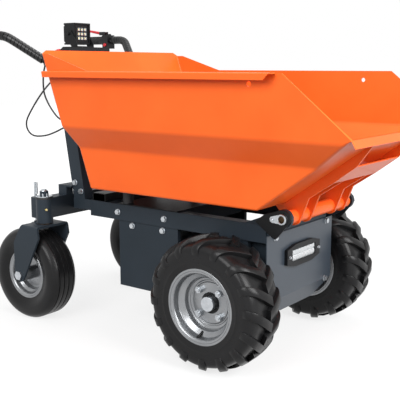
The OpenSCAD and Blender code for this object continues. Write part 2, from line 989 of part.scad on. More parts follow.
module lip_fold() {
  plate_xz([
    [lip_x - sheet, chute_z(lip_x - sheet)],
    [lip_x, chute_z(lip_x)],
    [lip_x + lip_run, chute_z(lip_x) - lip_drop],
    [lip_x + lip_run - sheet, chute_z(lip_x) - lip_drop]
  ], -tub_half + sheet, tub_half - sheet);
}

// Bar under the tub's rear that drops into the catch, with its two cheeks
module striker() {
  bar_y(striker_d, catch_x, striker_z, -catch_w, catch_w);
  both_sides()
    plate_xz([
      [catch_x - striker_d, striker_z - striker_d / 2],
      [catch_x + striker_d, striker_z - striker_d / 2],
      [floor_rear_x, floor_z],
      [rear_x(floor_z + striker_rise), floor_z + striker_rise],
      [catch_x - striker_d, striker_z + striker_d]
    ], catch_w - striker_cheek_t, catch_w);
}

module tub() {
  color(tub_paint) {
    difference() {
      tub_outside();
      tub_inside();
      both_sides() {
        plate_yz([
          [tub_half + over, guard_z - guard_cut[1]],
          [tub_half - guard_cut[0], guard_z + over],
          [tub_half + over, guard_z + over]
        ], rear_x(guard_z) - over, wing_x);
        bar_y(hook_hole_d, hook_hole_x, hook_hole_z, tub_half - cut_past, tub_half + over);
      }
    }
    both_sides()
      rim_flange();
    lip_fold();
    striker();
  }
}

// Ribs under the chute, which end in the eyes of the pivot tube

eye_wall = 6;
eye_r = pivot_tube_d / 2 + eye_wall;
inner_rib_y = 75;
rib_root_l = 40;
rib_end_in = 38;
rib_knee_l = 108;
rib_deep_l = 205;
rib_rear_x = floor_front_x - rib_root_l;
rib_front_x = lip_x - rib_end_in;
rib_knee_x = floor_front_x + rib_knee_l;
rib_deep_x = floor_front_x + rib_deep_l;
rib_end_h = 4;
rib_taper = 3;
rib_lap = 24;
closing_t = 4;

module rib(points, y0, y1) {
  difference() {
    union() {
      plate_xz(points, y0, y1);
      bar_y(2 * eye_r, pivot_x, pivot_z, y0, y1);
    }
    bar_y(pivot_tube_d, pivot_x, pivot_z, y0 - over, y1 + over);
  }
}

rib_root = [
  under_chute(rib_knee_x, rib_depth),
  on_circle(pivot_x, pivot_z, eye_r, -37),
  on_circle(pivot_x, pivot_z, eye_r, 204),
  [rib_rear_x, floor_z],
  [floor_front_x, floor_z]
];
outer_rib = concat([
  under_chute(rib_front_x, 0),
  under_chute(rib_front_x, rib_end_h),
  under_chute(rib_deep_x, rib_depth - rib_taper)
], rib_root);
inner_rib = concat([
  under_chute(rib_knee_x + rib_lap, 0),
  under_chute(rib_knee_x + rib_lap, rib_depth)
], rib_root);

module chute_ribs() {
  half = rib_span / 2;
  color(tub_paint) {
    both_sides() {
      rib(outer_rib, half - rib_t, half);
      rib(inner_rib, inner_rib_y, inner_rib_y + rib_t);
    }
    plate_xz([
      under_chute(rib_knee_x + rib_lap, rib_depth - closing_t),
      under_chute(rib_knee_x + rib_lap, rib_depth),
      under_chute(rib_deep_x, rib_depth - rib_taper),
      under_chute(rib_deep_x, rib_depth - rib_taper - closing_t)
    ], rib_t - half, half - rib_t);
  }
}

// Drive wheels, drawn on the left and mirrored to the right

drive_bead_r = drive_bead_d / 2;
drive_flange_r = drive_bead_r + drive_flange_h;
drive_half_rim = drive_rim_w / 2;
disc_t = 6;
disc_y = drive_track / 2 + disc_offset;
spigot_d = 44;
spigot_l = 18;
pilot_hole_d = 64;
shaft_gap = 2;
lug_nut_d = 22;
lug_nut_h = 14;
stud_turn = 45;
stud_end = 3;

module on_side(side) {
  if (side == LEFT)
    children();
  else
    mirror([0, 1, 0])
      children();
}

module at_drive_wheel() {
  translate([axle_x, drive_track / 2, drive_r])
    rotate([-90, 0, 0])
      children();
}

module studs(d, h) {
  for (i = [0:lug_count - 1])
    rotate([0, 0, stud_turn + i * 360 / lug_count])
      translate([lug_circle_d / 2, 0, 0])
        cylinder(d = d, h = h);
}

module drive_axle(side) {
  color(zinc)
    on_side(side) {
      bar_y(shaft_d, axle_x, drive_r, shaft_gap / 2, disc_y - disc_t);
      bar_y(hub_d, axle_x, drive_r, disc_y - disc_t - hub_t, disc_y - disc_t);
      bar_y(spigot_d, axle_x, drive_r, disc_y - disc_t, disc_y + spigot_l);
      at_drive_wheel()
        translate([0, 0, disc_offset - disc_t])
          studs(stud_d, disc_t + lug_nut_h + stud_end);
    }
}

// Half of a rim's profile as radius and offset, one sheet thick
function rim_profile(bead, flange, half, well, seat, slope) = [
  [flange, -half - rim_sheet], [flange, -half], [bead, -half], [bead, -half + seat],
  [well, -half + seat + slope], [well, half - seat - slope], [bead, half - seat], [bead, half],
  [flange, half], [flange, half + rim_sheet], [bead - rim_sheet, half + rim_sheet],
  [bead - rim_sheet, half - seat + rim_bend], [well - rim_sheet, half - seat - slope + rim_bend],
  [well - rim_sheet, -half + seat + slope - rim_bend], [bead - rim_sheet, -half + seat - rim_bend],
  [bead - rim_sheet, -half - rim_sheet]
];

rim_bend = 2;
drive_well_depth = 18;
drive_well_r = drive_bead_r - drive_well_depth;
drive_seat = 24;
drive_slope = 10;

module drive_rim(side) {
  color(silver_paint)
    on_side(side)
      at_drive_wheel() {
        rotate_extrude()
          polygon(rim_profile(drive_bead_r, drive_flange_r, drive_half_rim, drive_well_r,
            drive_seat, drive_slope));
        translate([0, 0, disc_offset - disc_t])
          difference() {
            cylinder(r = drive_well_r - rim_sheet / 2, h = disc_t);
            translate([0, 0, -over]) {
              cylinder(d = pilot_hole_d, h = disc_t + 2 * over);
              studs(stud_d, disc_t + 2 * over);
            }
          }
      }
}

// A tyre's outer skin as radius and offset, from bead to bead
function tyre_half(bead, flange, half, crown, width, up) = [
  [bead, up * (half - bead_w)], [bead, up * half], [flange + bead_gap, up * half],
  [flange + bead_rise[0], up * (half + bead_rise[1])], [(flange + crown) / 2, up * width / 2],
  [crown - shoulder[0] * width, up * shoulder[1] * width],
  [crown - tread_edge[0] * width, up * tread_edge[1] * width]
];
function tyre_cavity(flange, half, crown, width, wall, up) = [
  [crown - wall, up * crown_half * width], [crown - wall * 1.3, up * tread_edge[1] * width],
  [(flange + crown) / 2, up * (width / 2 - wall)], [flange + bead_rise[0], up * (half - bead_w)]
];
function reverse(list) = [for (i = [len(list) - 1:-1:0]) list[i]];
function tyre_skin(bead, flange, half, crown, width, tread) = concat(
  tyre_half(bead, flange, half, crown, width, -1),
  tread,
  reverse(tyre_half(bead, flange, half, crown, width, 1))
);
function tyre_profile(bead, flange, half, crown, width, wall, tread) = concat(
  tyre_skin(bead, flange, half, crown, width, tread),
  reverse(tyre_cavity(flange, half, crown, width, wall, 1)),
  tyre_cavity(flange, half, crown, width, wall, -1)
);
bead_w = 15;
bead_gap = 0.6;
bead_rise = [5, 4];
// Drop below the crown and offset from the middle, as shares of the tyre's width
shoulder = [0.1, 0.46];
tread_edge = [0.015, 0.33];
crown_half = 0.12;

// Drive tyre: a smooth carcass with two rows of slanting lugs

drive_tyre_wall = 14;
lug_h = 16;
lug_rows = 16;
lug_w = 30;
lug_sweep = 60;
lug_overlap = 8;
lug_turn = 12.3;
lug_reach = 14;
lug_side = 5;
lug_foot = 6;
carcass_r = drive_r - lug_h;
carcass_w = drive_tyre_w - 2 * lug_side;
lug_foot_r = carcass_r - 2 * lug_reach;

module lug() {
  half_w = drive_tyre_w / 2;
  rotate([0, 0, -lug_sweep / 2 / drive_r * 180 / PI])
    translate([lug_foot_r, 0, 0])
      rotate([90, 0, 90])
        linear_extrude(lug_h + 3 * lug_reach)
          polygon([
            [(lug_sweep - lug_w) / 2, -lug_overlap],
            [(lug_sweep + lug_w) / 2, -lug_overlap],
            [(lug_w - lug_sweep) / 2, half_w],
            [-(lug_w + lug_sweep) / 2, half_w]
          ]);
}

// One side of the space that the lugs fill, from foot to crown
function tread_half(up) = [
  [lug_foot_r, up * drive_tyre_w / 2],
  [lug_foot_r + lug_foot, up * drive_tyre_w / 2],
  [drive_r - shoulder[0] * drive_tyre_w, up * shoulder[1] * drive_tyre_w],
  [drive_r - tread_edge[0] * drive_tyre_w, up * tread_edge[1] * drive_tyre_w],
  [drive_r, up * crown_half * drive_tyre_w]
];

module tread_lugs() {
  pitch = 360 / lug_rows;
  intersection() {
    for (i = [0:lug_rows - 1]) {
      rotate([0, 0, lug_turn + i * pitch])
        lug();
      rotate([0, 0, lug_turn + (i + 0.5) * pitch])
        mirror([0, 0, 1])
          lug();
    }
    rotate_extrude()
      polygon(concat(tread_half(-1), reverse(tread_half(1))));
  }
}

module drive_tyre(side) {
  color(rubber)
    on_side(side)
      at_drive_wheel()
        union() {
          rotate_extrude()
            polygon(tyre_profile(drive_bead_r, drive_flange_r, drive_half_rim, carcass_r, carcass_w,
              drive_tyre_wall, [for (up = [-1, 1]) [carcass_r, up * crown_half * carcass_w]]));
          tread_lugs();
        }
}

module lug_nuts(side) {
  color(zinc)
    on_side(side)
      at_drive_wheel()
        translate([0, 0, disc_offset])
          for (i = [0:lug_count - 1])
            rotate([0, 0, stud_turn + i * 360 / lug_count])
              translate([lug_circle_d / 2, 0, 0])
                difference() {
                  cylinder(d = lug_nut_d, h = lug_nut_h, $fn = 6);
                  translate([0, 0, -over])
                    cylinder(d = stud_d, h = lug_nut_h + 2 * over);
                }
}

// Casters, drawn on the left and mirrored to the right

leg_inner = caster_tyre_w / 2 + fork_gap;
leg_outer = leg_inner + fork_plate;
fork_half_l = 44;
fork_nose = [6, 40];
leg_heel_h = 116;
axle_eye_r = 24;
axle_nut_d = 1.7 * caster_axle_d;
axle_nut_h = 9;
stem_washer_w = 7;
stem_washer_t = 3;
stem_nut_d = 1.6 * stem_d;
stem_nut_h = 15;
stem_rise = 20;
lock_ring_d = lock_pin_d + 6;
lock_ring_h = 4;
lock_ring_hole = lock_pin_d + 2;
stem_top = housing_top + bush_flange_t + stem_rise;

module fork_leg() {
  difference() {
    union() {
      plate_xz([
        [swivel_x - fork_half_l, fork_top_z],
        [swivel_x + fork_half_l - fork_nose[0], fork_top_z],
        [swivel_x + fork_half_l, fork_top_z - fork_nose[1]],
        on_circle(caster_x, caster_r, axle_eye_r, -24),
        [caster_x - axle_eye_r, caster_r],
        [caster_x - axle_eye_r, caster_r + leg_heel_h]
      ], leg_inner, leg_outer);
      bar_y(2 * axle_eye_r, caster_x, caster_r, leg_inner, leg_outer);
    }
    bar_y(caster_axle_d, caster_x, caster_r, leg_inner - over, leg_outer + over);
  }
}

module fork(side) {
  color(frame_paint)
    on_side(side)
      translate([0, swivel_y, 0]) {
        both_sides()
          fork_leg();
        block(swivel_x - fork_half_l, swivel_x + fork_half_l - fork_nose[0], -leg_inner, leg_inner,
          fork_top_z - fork_plate, fork_top_z);
        translate([swivel_x, 0, fork_top_z - fork_plate])
          cylinder(d = stem_d, h = stem_top - fork_top_z + fork_plate);
        lock_ring();
      }
}

// Raised ring on its tab, into which the swivel lock drops
module lock_ring() {
  difference() {
    union() {
      block(swivel_x - lock_offset - lock_ring_d / 2, swivel_x - fork_half_l, -lock_ring_d, lock_ring_d,
        fork_top_z - fork_plate, fork_top_z);
      translate([swivel_x - lock_offset, 0, fork_top_z - fork_plate])
        cylinder(d = lock_ring_d, h = lock_ring_h + fork_plate);
    }
    translate([swivel_x - lock_offset, 0, fork_top_z - fork_plate - over])
      cylinder(d = lock_ring_hole, h = fork_plate + lock_ring_h + 2 * over);
  }
}

// Axle bolt with its nuts, and the nut on the swivel stem
module caster_fasteners(side) {
  washer_z = housing_top + bush_flange_t;
  color(zinc)
    on_side(side)
      translate([0, swivel_y, 0]) {
        bar_y(caster_axle_d, caster_x, caster_r, -leg_outer, leg_outer);
        both_sides()
          translate([caster_x, leg_outer, caster_r])
            rotate([-90, 0, 0])
              cylinder(d = axle_nut_d, h = axle_nut_h, $fn = 6);
        translate([swivel_x, 0, washer_z])
          difference() {
            union() {
              cylinder(d = bush_d + 2 * stem_washer_w, h = stem_washer_t);
              cylinder(d = stem_nut_d, h = stem_nut_h, $fn = 6);
            }
            translate([0, 0, -over])
              cylinder(d = stem_d, h = stem_nut_h + 2 * over);
          }
      }
}

caster_bead_r = caster_bead_d / 2;
caster_flange_r = caster_bead_r + caster_flange_h;
caster_half_rim = caster_rim_w / 2;
caster_well_depth = 12;
caster_well_r = caster_bead_r - caster_well_depth;
caster_seat = 16;
caster_slope = 8;
caster_hub_d = 46;

module at_caster() {
  translate([caster_x, swivel_y, caster_r])
    rotate([-90, 0, 0])
      children();
}

module caster_rim(side) {
  hub_half = leg_inner - free_gap;
  color(silver_paint)
    on_side(side)
      at_caster()
        difference() {
          union() {
            rotate_extrude()
              polygon(rim_profile(caster_bead_r, caster_flange_r, caster_half_rim, caster_well_r,
                caster_seat, caster_slope));
            translate([0, 0, -disc_t / 2])
              cylinder(r = caster_well_r - rim_sheet / 2, h = disc_t);
            translate([0, 0, -hub_half])
              cylinder(d = caster_hub_d, h = 2 * hub_half);
          }
          translate([0, 0, -hub_half - over])
            cylinder(d = caster_axle_d + 2 * run_fit, h = 2 * hub_half + 2 * over);
        }
}

// Caster tyre with four grooves round its crown

caster_tyre_wall = 12;
groove_w = 4;
groove_d = 4;
groove_places = [-0.27, -0.09, 0.09, 0.27];
caster_tread = [for (p = groove_places, q = [[0, -0.5], [1, -0.5], [1, 0.5], [0, 0.5]])
  [caster_r - q[0] * groove_d, p * caster_tyre_w + q[1] * groove_w]];

module caster_tyre(side) {
  color(rubber)
    on_side(side)
      at_caster()
        rotate_extrude()
          polygon(tyre_profile(caster_bead_r, caster_flange_r, caster_half_rim, caster_r, caster_tyre_w,
            caster_tyre_wall, caster_tread));
}

// Swivel lock pin, drawn raised, with its two pull prongs
lock_lift = 3;
lock_reach = 50;
lock_pin_top = housing_top + lock_reach;
prong_d = 6;
prong_gap = 9;
prong_rise = 12;
prong_foot = 5;
prong_z = lock_tube_top + prong_rise;

module lock_pin(side) {
  pin_z = fork_top_z + lock_ring_h + lock_lift;
  color(zinc)
    on_side(side)
      translate([swivel_x - lock_offset, swivel_y, 0]) {
        translate([0, 0, pin_z])
          cylinder(d = lock_pin_d, h = lock_pin_top - pin_z);
        translate([prong_gap, 0, prong_z])
          cylinder(d = prong_d, h = lock_pin_top - prong_z);
        block(0, prong_gap, -prong_d / 2, prong_d / 2, prong_z, prong_z + prong_foot);
      }
}

// Handlebars: a level run, a bend and a sloping run into the mast

bar_foot_in = 28.8;
bar_entry = 40.3;
bar_end_z = grip_z - (grip_half - frame_half + bar_foot_in) / tan(bar_splay);
bend_drop = bar_bend_r * (1 - cos(bar_slope));
bend_reach = bar_bend_r * sin(bar_slope);
bar_run_l = ((grip_z - bar_end_z) / cos(bar_splay) - bend_drop) / sin(bar_slope);
bend_start_x = mast_rear(bar_end_z) + bar_entry - bar_run_l * cos(bar_slope) - bend_reach;
bend_end = [bend_start_x + bend_reach, -bend_drop];
plug_l = 6;
plug_d = bar_d - plug_l;
bar_end_in = 3;
grip_end_x = -(lip_x + lip_run);
grip_start_x = grip_end_x + grip_l;

module at_grip(side) {
  translate([0, side * grip_half, grip_z])
    children();
}

module at_bar(side) {
  at_grip(side)
    rotate([-side * bar_splay, 0, 0])
      children();
}

module bar_run(d) {
  at_bar(LEFT)
    translate([bend_end[0], 0, bend_end[1]])
      rotate([0, 90 + bar_slope, 0])
        cylinder(d = d, h = bar_run_l);
}

module handlebars() {
  color(black_paint)
    both_sides() {
      bar_run(bar_d);
      at_bar(LEFT) {
        translate([bend_start_x, 0, -bar_bend_r])
          rotate([90, 0, 0])
            rotate([0, 0, 90 - bar_slope])
              rotate_extrude(angle = bar_slope)
                translate([bar_bend_r, 0])
                  circle(d = bar_d);
        bar_x(bar_d, 0, 0, grip_end_x + bar_end_in, bend_start_x);
        bar_x(plug_d, 0, 0, bend_start_x - plug_l, bend_start_x + plug_l);
        translate([bend_end[0], 0, bend_end[1]])
          rotate([0, 90 + bar_slope, 0])
            translate([0, 0, -plug_l])
              cylinder(d = plug_d, h = 2 * plug_l);
      }
    }
  color(black_paint)
    at_bar(RIGHT)
      translate([bend_end[0], 0, bend_end[1]] + (bar_run_l - clip_up) * [cos(bar_slope), 0, -sin(bar_slope)])
        rotate([0, 180 + bar_slope, 0])
          cylinder(d = gland_d, h = clip_l);
}

// Spiral wrap: a band wound along the bar from the controls to the mast

wrap_clear = 50;
wrap_end_l = 112;
wrap_play = 0.3;
wrap_start_x = grip_start_x + wrap_clear;
wrap_level_l = bend_start_x - wrap_start_x;
wrap_bend_l = bar_bend_r * bar_slope * PI / 180;
wrap_slope_l = bar_run_l - wrap_end_l;
wrap_l = wrap_level_l + wrap_bend_l + wrap_slope_l;
wrap_rings = 8;
wrap_in = bar_d / 2 / cos(180 / wrap_rings) + wrap_play;

function bar_angle(u) = min(max(u - wrap_level_l, 0), wrap_bend_l) / bar_bend_r * 180 / PI;
function bar_point(u) =
  let (
    a = bar_angle(u),
    past = max(u - wrap_level_l - wrap_bend_l, 0)
  )
  [
    wrap_start_x + min(u, wrap_level_l) + bar_bend_r * sin(a) + past * cos(bar_slope),
    0,
    -bar_bend_r * (1 - cos(a)) - past * sin(bar_slope)
  ];
function bar_up(u) = [sin(bar_angle(u)), 0, cos(bar_angle(u))];
function bar_along(u) = [cos(bar_angle(u)), 0, -sin(bar_angle(u))];
function wrap_out(i) =
  let (u = wrap_l * i / (wrap_turns * wrap_rings), turn = 360 * i / wrap_rings)
  bar_up(u) * cos(turn) + [0, sin(turn), 0];
wrap_flat = 0.3 * wrap_w;
wrap_section = [
  [wrap_t, -wrap_flat], [wrap_t, wrap_flat], [wrap_t / 2, wrap_w / 2],
  [0, wrap_flat], [0, -wrap_flat], [wrap_t / 2, -wrap_w / 2]
];
function wrap_ring(i) =
  let (u = wrap_l * i / (wrap_turns * wrap_rings))
  [for (p = wrap_section)
    bar_point(u) + wrap_out(i) * (wrap_in + p[0]) + bar_along(u) * p[1]];

// Skin of a swept tube from its rings, each a list of points in the same order
module swept(rings) {
  n = len(rings[0]);
  last = len(rings) - 1;
  polyhedron(
    points = [for (ring = rings) each ring],
    faces = concat(
      [[for (k = [0:n - 1]) k]],
      [for (i = [0:last - 1], k = [0:n - 1], half = [0, 1])
        half == 0
          ? [i * n + k, (i + 1) * n + k, (i + 1) * n + (k + 1) % n]
          : [i * n + k, (i + 1) * n + (k + 1) % n, i * n + (k + 1) % n]],
      [[for (k = [n - 1:-1:0]) last * n + k]]
    )
  );
}

module spiral_wraps() {
  rings = [for (i = [0:wrap_turns * wrap_rings]) wrap_ring(i)];
  gaps = [for (i = [0:(wrap_turns - 1) * wrap_rings]) norm(rings[i + wrap_rings][5] - rings[i][2])];
  echo(least_gap_between_wrap_turns = min(gaps));
  color(black_paint)
    both_sides()
      at_bar(LEFT)
        swept(rings);
}

// Grips and controls

module sleeve(side, d, bore, x0, x1) {
  at_grip(side)
    difference() {
      bar_x(d, 0, 0, x0, x1);
      bar_x(bore, 0, 0, x0 - over, x1 + over);
    }
}

module left_grip() {
  color(rubber)
    sleeve(LEFT, grip_d, bar_d, grip_end_x, grip_start_x);
}

module throttle_grip() {
  color(rubber)
    sleeve(RIGHT, grip_d, bar_d + 2 * run_fit, grip_end_x, grip_start_x - free_gap);
}

throttle_case_d = grip_d + 13;
throttle_case_l = 28;

module throttle_housing() {
  color(black_paint)
    sleeve(RIGHT, throttle_case_d, bar_d, grip_start_x, grip_start_x + throttle_case_l);
}

collar_l = 14;
pod_x = grip_start_x + collar_l;
pod_l = 30;
pod_half_w = 21;
pod_low = 34;
pod_high = 21;
collar_d = 40;
cheek_t = 4;
cheek_end = 8;
cheek_half_h = 7;
lever_pivot = [grip_start_x - cheek_t, collar_d / 2 + cheek_end];
lever_pin_d = 6;
lever_w = 14;
lever_eye_d = 14;
lever_root_h = 12;
lever_tip_h = 8;
lever_point = 6;
lever_l = 86;
lever_rise = 14;
horn_d = 14;
horn_x = pod_x + pod_l / 2;
horn_z = -19;
horn_travel = 3;
horn_depth = 9;
horn_out = 5;
rocker_l = 22;
rocker_w = 12;
rocker_pit = 9;
rocker_in = 6;
rocker_out = 5;
rocker_pin_d = 4;
rocker_pin_end = 4;
rocker_pin_z = pod_high - rocker_in / 2;
rocker_slot = 3;

module switch_pod() {
  color(black_paint)
    at_grip(LEFT) {
      difference() {
        union() {
          block(pod_x, pod_x + pod_l, -pod_half_w, pod_half_w, -pod_low, pod_high);
          bar_x(collar_d, 0, 0, grip_start_x, pod_x);
          for (side = [0, 1])
            mirror([0, side, 0])
              plate_xz([
                [lever_pivot[0] - cheek_end, lever_pivot[1] - cheek_half_h],
                [pod_x, lever_pivot[1] - cheek_half_h],
                [pod_x, 0],
                [pod_x + cheek_t, 0],
                [pod_x + cheek_t, lever_pivot[1] + cheek_half_h],
                [lever_pivot[0] - cheek_end, lever_pivot[1] + cheek_half_h]
              ], lever_w / 2 + free_gap, lever_w / 2 + free_gap + cheek_t);
        }
        bar_x(bar_d, 0, 0, grip_start_x - over, pod_x + pod_l + over);
        bar_y(horn_d + 2 * run_fit, horn_x, horn_z, -pod_half_w - over,
          horn_depth + horn_travel + over - pod_half_w);
        block(horn_x - rocker_l / 2 - rocker_slot, horn_x + rocker_l / 2 + rocker_slot,
          -rocker_w / 2 - free_gap, rocker_w / 2 + free_gap, pod_high - rocker_pit, pod_high + over);
        bar_y(rocker_pin_d + 2 * run_fit, horn_x, rocker_pin_z, -rocker_w / 2 - rocker_pin_end - free_gap,
          rocker_w / 2 + rocker_pin_end + free_gap);
      }
      bar_y(lever_pin_d, lever_pivot[0], lever_pivot[1], -lever_w / 2 - free_gap - cheek_t,
        lever_w / 2 + free_gap + cheek_t);
    }
}

module brake_lever() {
  tip = [lever_pivot[0] - lever_l, lever_pivot[1] + lever_rise];
  color("#c8202a")
    at_grip(LEFT)
      difference() {
        union() {
          bar_y(lever_eye_d, lever_pivot[0], lever_pivot[1], -lever_w / 2, lever_w / 2);
          plate_xz([
            [lever_pivot[0], lever_pivot[1] - lever_root_h / 2],
            [lever_pivot[0], lever_pivot[1] + lever_root_h / 2],
            [tip[0], tip[1] + lever_tip_h / 2],
            [tip[0] - lever_point, tip[1]],
            [tip[0], tip[1] - lever_tip_h / 2]
          ], -lever_w / 2, lever_w / 2);
        }
        bar_y(lever_pin_d + 2 * run_fit, lever_pivot[0], lever_pivot[1], -lever_w, lever_w);
      }
}

module horn_button() {
  color("#c8202a")
    at_grip(LEFT)
      bar_y(horn_d, horn_x, horn_z, -pod_half_w - horn_out, horn_depth - pod_half_w);
}

module direction_switch() {
  color("#3a3d42")
    at_grip(LEFT) {
      block(horn_x - rocker_l / 2, horn_x + rocker_l / 2, -rocker_w / 2, rocker_w / 2,
        pod_high - rocker_in, pod_high + rocker_out);
      bar_y(rocker_pin_d, horn_x, rocker_pin_z, -rocker_w / 2 - rocker_pin_end,
        rocker_w / 2 + rocker_pin_end);
    }
}

// Console on the mast, with gauge, key and stop button on its sloping face

console_reach = 34.5;
console_front_x = mast_rear(mast_top_z) - console_reach;
console_flat = 35;
console_face_l = 98;
console_tilt = 35.5;
console_wall = 3;
console_low_z = mast_tie_z;
face_edge_x = console_front_x - console_flat;
console_rear = [
  face_edge_x - console_face_l * cos(console_tilt),
  console_z - console_face_l * sin(console_tilt)
];
console_lip = 14;
console_back = 18;
console_foot = 24;
collar_h = 5;
key_collar_d = 26;
stop_collar_d = 34;
key_y = 72;
stop_y = -84;
face_u = 52;
gauge_y = 12;
gauge_u = 60;
gauge_size = [32, 54, 7];
key_d = 8;
key_depth = 14;
key_neck = 4;
key_bow = [22, 3, 24];
stop_stem_d = 14;
stop_depth = 12;
stop_travel = 4;
stop_head_d = 32;
stop_head_h = 9;

// Places a piece on the console's sloping face, with Z out of the face
module on_console(y, u) {
  translate([face_edge_x - u * cos(console_tilt), y, console_z - u * sin(console_tilt)])
    rotate([0, -console_tilt, 0])
      children();
}

// The console's side outline, drawn in by the given amount
function console_outline(in) = [
  [mast_rear(console_low_z + in) - in, console_low_z + in],
  [mast_rear(mast_top_z) - in, mast_top_z],
  [console_front_x - in, console_z - console_lip],
  [console_front_x - in, console_z - in],
  [face_edge_x + in * tan(console_tilt / 2), console_z - in],
  console_rear + [in, -in * tan(45 - console_tilt / 2)],
  console_rear + [in, in - console_back],
  [mast_rear(console_low_z + in) - console_foot + in, console_low_z + in]
];

module console() {
  half = console_w / 2;
  color(black_paint)
    difference() {
      union() {
        plate_xz(console_outline(0), -half, half);
        on_console(key_y, face_u)
          cylinder(d = key_collar_d, h = collar_h);
        on_console(stop_y, face_u)
          cylinder(d = stop_collar_d, h = collar_h);
      }
      plate_xz(console_outline(console_wall), console_wall - half, half - console_wall);
      on_console(key_y, face_u)
        translate([0, 0, -2 * console_wall])
          cylinder(d = key_d + 2 * run_fit, h = 4 * console_wall);
      on_console(stop_y, face_u)
        translate([0, 0, -2 * console_wall])
          cylinder(d = stop_stem_d + 2 * run_fit, h = 4 * console_wall);
    }
}

module battery_gauge() {
  color("#2a2d31")
    on_console(gauge_y, gauge_u)
      translate([-gauge_size[0] / 2, -gauge_size[1] / 2, 0])
        cube(gauge_size);
}

module key() {
  color(zinc)
    on_console(key_y, face_u) {
      translate([0, 0, -key_depth])
        cylinder(d = key_d, h = key_depth + collar_h + key_neck);
      translate([-key_bow[0] / 2, -key_bow[1] / 2, collar_h + free_gap])
        cube(key_bow);
    }
}

module stop_button() {
  color("#c8202a")
    on_console(stop_y, face_u) {
      translate([0, 0, -stop_depth])
        cylinder(d = stop_stem_d, h = stop_depth + collar_h + stop_travel + stop_head_h / 2);
      translate([0, 0, collar_h + stop_travel + free_gap])
        cylinder(d = stop_head_d, h = stop_head_h);
    }
}

// Work light in its bracket on the console's front edge

light_gap = 1;
light_back = 17;
light_lift = 6;
bracket_t = 3;
bracket_edge = 3;
bracket_foot_l = 30;
bracket_ear = 12;
trunnion_d = 10;
trunnion_out = 6;
light_half = pod_size / 2;
light_x = console_front_x - light_back - pod_depth / 2;
light_z = console_z + bracket_t + light_half + light_lift;
light_front_x = light_x + pod_depth / 2;
pod_rim = 6;
pod_recess = 10;
pod_lens_t = 8;
pod_fin_count = 7;
pod_fin_pitch = 10;
pod_fin_gap = 5;
pod_fin_end = 8;

module light_bracket() {
  inner = light_half + light_gap;
  outer = inner + bracket_t;
  foot_front = console_front_x - bracket_edge;
  foot_rear = foot_front - bracket_foot_l;
  color(black_paint)
    translate([0, pod_y, 0])
      difference() {
        union() {
          block(foot_rear, foot_front, -outer, outer, console_z, console_z + bracket_t);
          both_sides()
            plate_xz([
              [foot_rear, console_z],
              [foot_front, console_z],
              [foot_front, console_z + bracket_ear],
              [light_x + bracket_ear, light_z + bracket_ear],
              [light_x - bracket_ear, light_z + bracket_ear],
              [light_x - bracket_ear, light_z - bracket_ear]
            ], inner, outer);
        }
        bar_y(trunnion_d + 2 * run_fit, light_x, light_z, -outer - over, outer + over);
      }
}

module work_light() {
  reach = light_half + light_gap + bracket_t;
  color(black_paint)
    translate([0, pod_y, 0]) {
      difference() {
        block(light_front_x - pod_depth, light_front_x, -light_half, light_half,
          light_z - light_half, light_z + light_half);
        block(light_front_x - pod_recess, light_front_x + over, pod_rim - light_half, light_half - pod_rim,
          light_z + pod_rim - light_half, light_z - pod_rim + light_half);
        for (i = [0:pod_fin_count - 1])
          translate([0, 0, light_z - light_half + pod_rim + i * pod_fin_pitch])
            block(light_front_x - pod_depth - over, light_x - pod_fin_end,
              -light_half - over, light_half + over, 0, pod_fin_gap);
      }
      both_sides()
        bar_y(trunnion_d, light_x, light_z, light_half, reach + trunnion_out);
    }
}

module work_light_lens() {
  color("#eef2f4")
    translate([0, pod_y, 0])
      block(light_front_x - pod_recess, light_front_x - pod_recess + pod_lens_t, pod_rim - light_half,
        light_half - pod_rim, light_z + pod_rim - light_half, light_z - pod_rim + light_half);
}

// Cables that hang free behind the mast

cable_d = 6;
cable_sides = 10;
cable_steps = 3;
gland_d = 14;
gland_l = 12;
clip_up = 100;
clip_l = 19;
// The upright plane of the glands, from which the routes are measured sideways
gland_in = 15;
gland_line = [0, gland_in - frame_half, 0];
upper_route = [
  [-461, -26, 894], [-470, -20, 888], [-483, -16, 864], [-489, -14, 830], [-486, -13, 790],
  [-466, -10, 750], [-438, -4, 714], [-416, 0, 700], [-403, 0, 702]
];
lower_route = [
  [-427, 0, 850], [-440, 0, 848], [-464, -18, 818], [-490, -34, 780], [-530, -38, 732],
  [-558, -38, 692], [-556, -36, 660], [-528, -32, 640], [-480, -20, 642], [-440, -8, 656],
  [-411, 0, 670], [-398, 0, 672]
];

function spline(a, b, c, d, t) = 0.5 * (2 * b + (c - a) * t + (2 * a - 5 * b + 4 * c - d) * t * t
  + (3 * b - a - 3 * c + d) * t * t * t);
function smooth(route) =
  let (n = len(route) - 1)
  concat(
    [for (i = [0:n - 1], s = [0:cable_steps - 1])
      spline(route[max(i - 1, 0)], route[i], route[i + 1], route[min(i + 2, n)], s / cable_steps)],
    [route[n]]
  );
function unit(v) = v / norm(v);
function cable_rings(line) =
  let (n = len(line) - 1)
  [for (i = [0:n])
    let (
      along = unit(line[min(i + 1, n)] - line[max(i - 1, 0)]),
      side = unit(cross(along, [0, 1, 0])),
      other = cross(along, side)
    )
    [for (k = [0:cable_sides - 1])
      line[i] + cable_d / 2 * (side * cos(360 * k / cable_sides) + other * sin(360 * k / cable_sides))]];

module cable_upper() {
  color(rubber)
    translate(gland_line)
      swept(cable_rings(smooth(upper_route)));
}

module cable_lower() {
  color(rubber)
    translate(gland_line)
      swept(cable_rings(smooth(lower_route)));
}

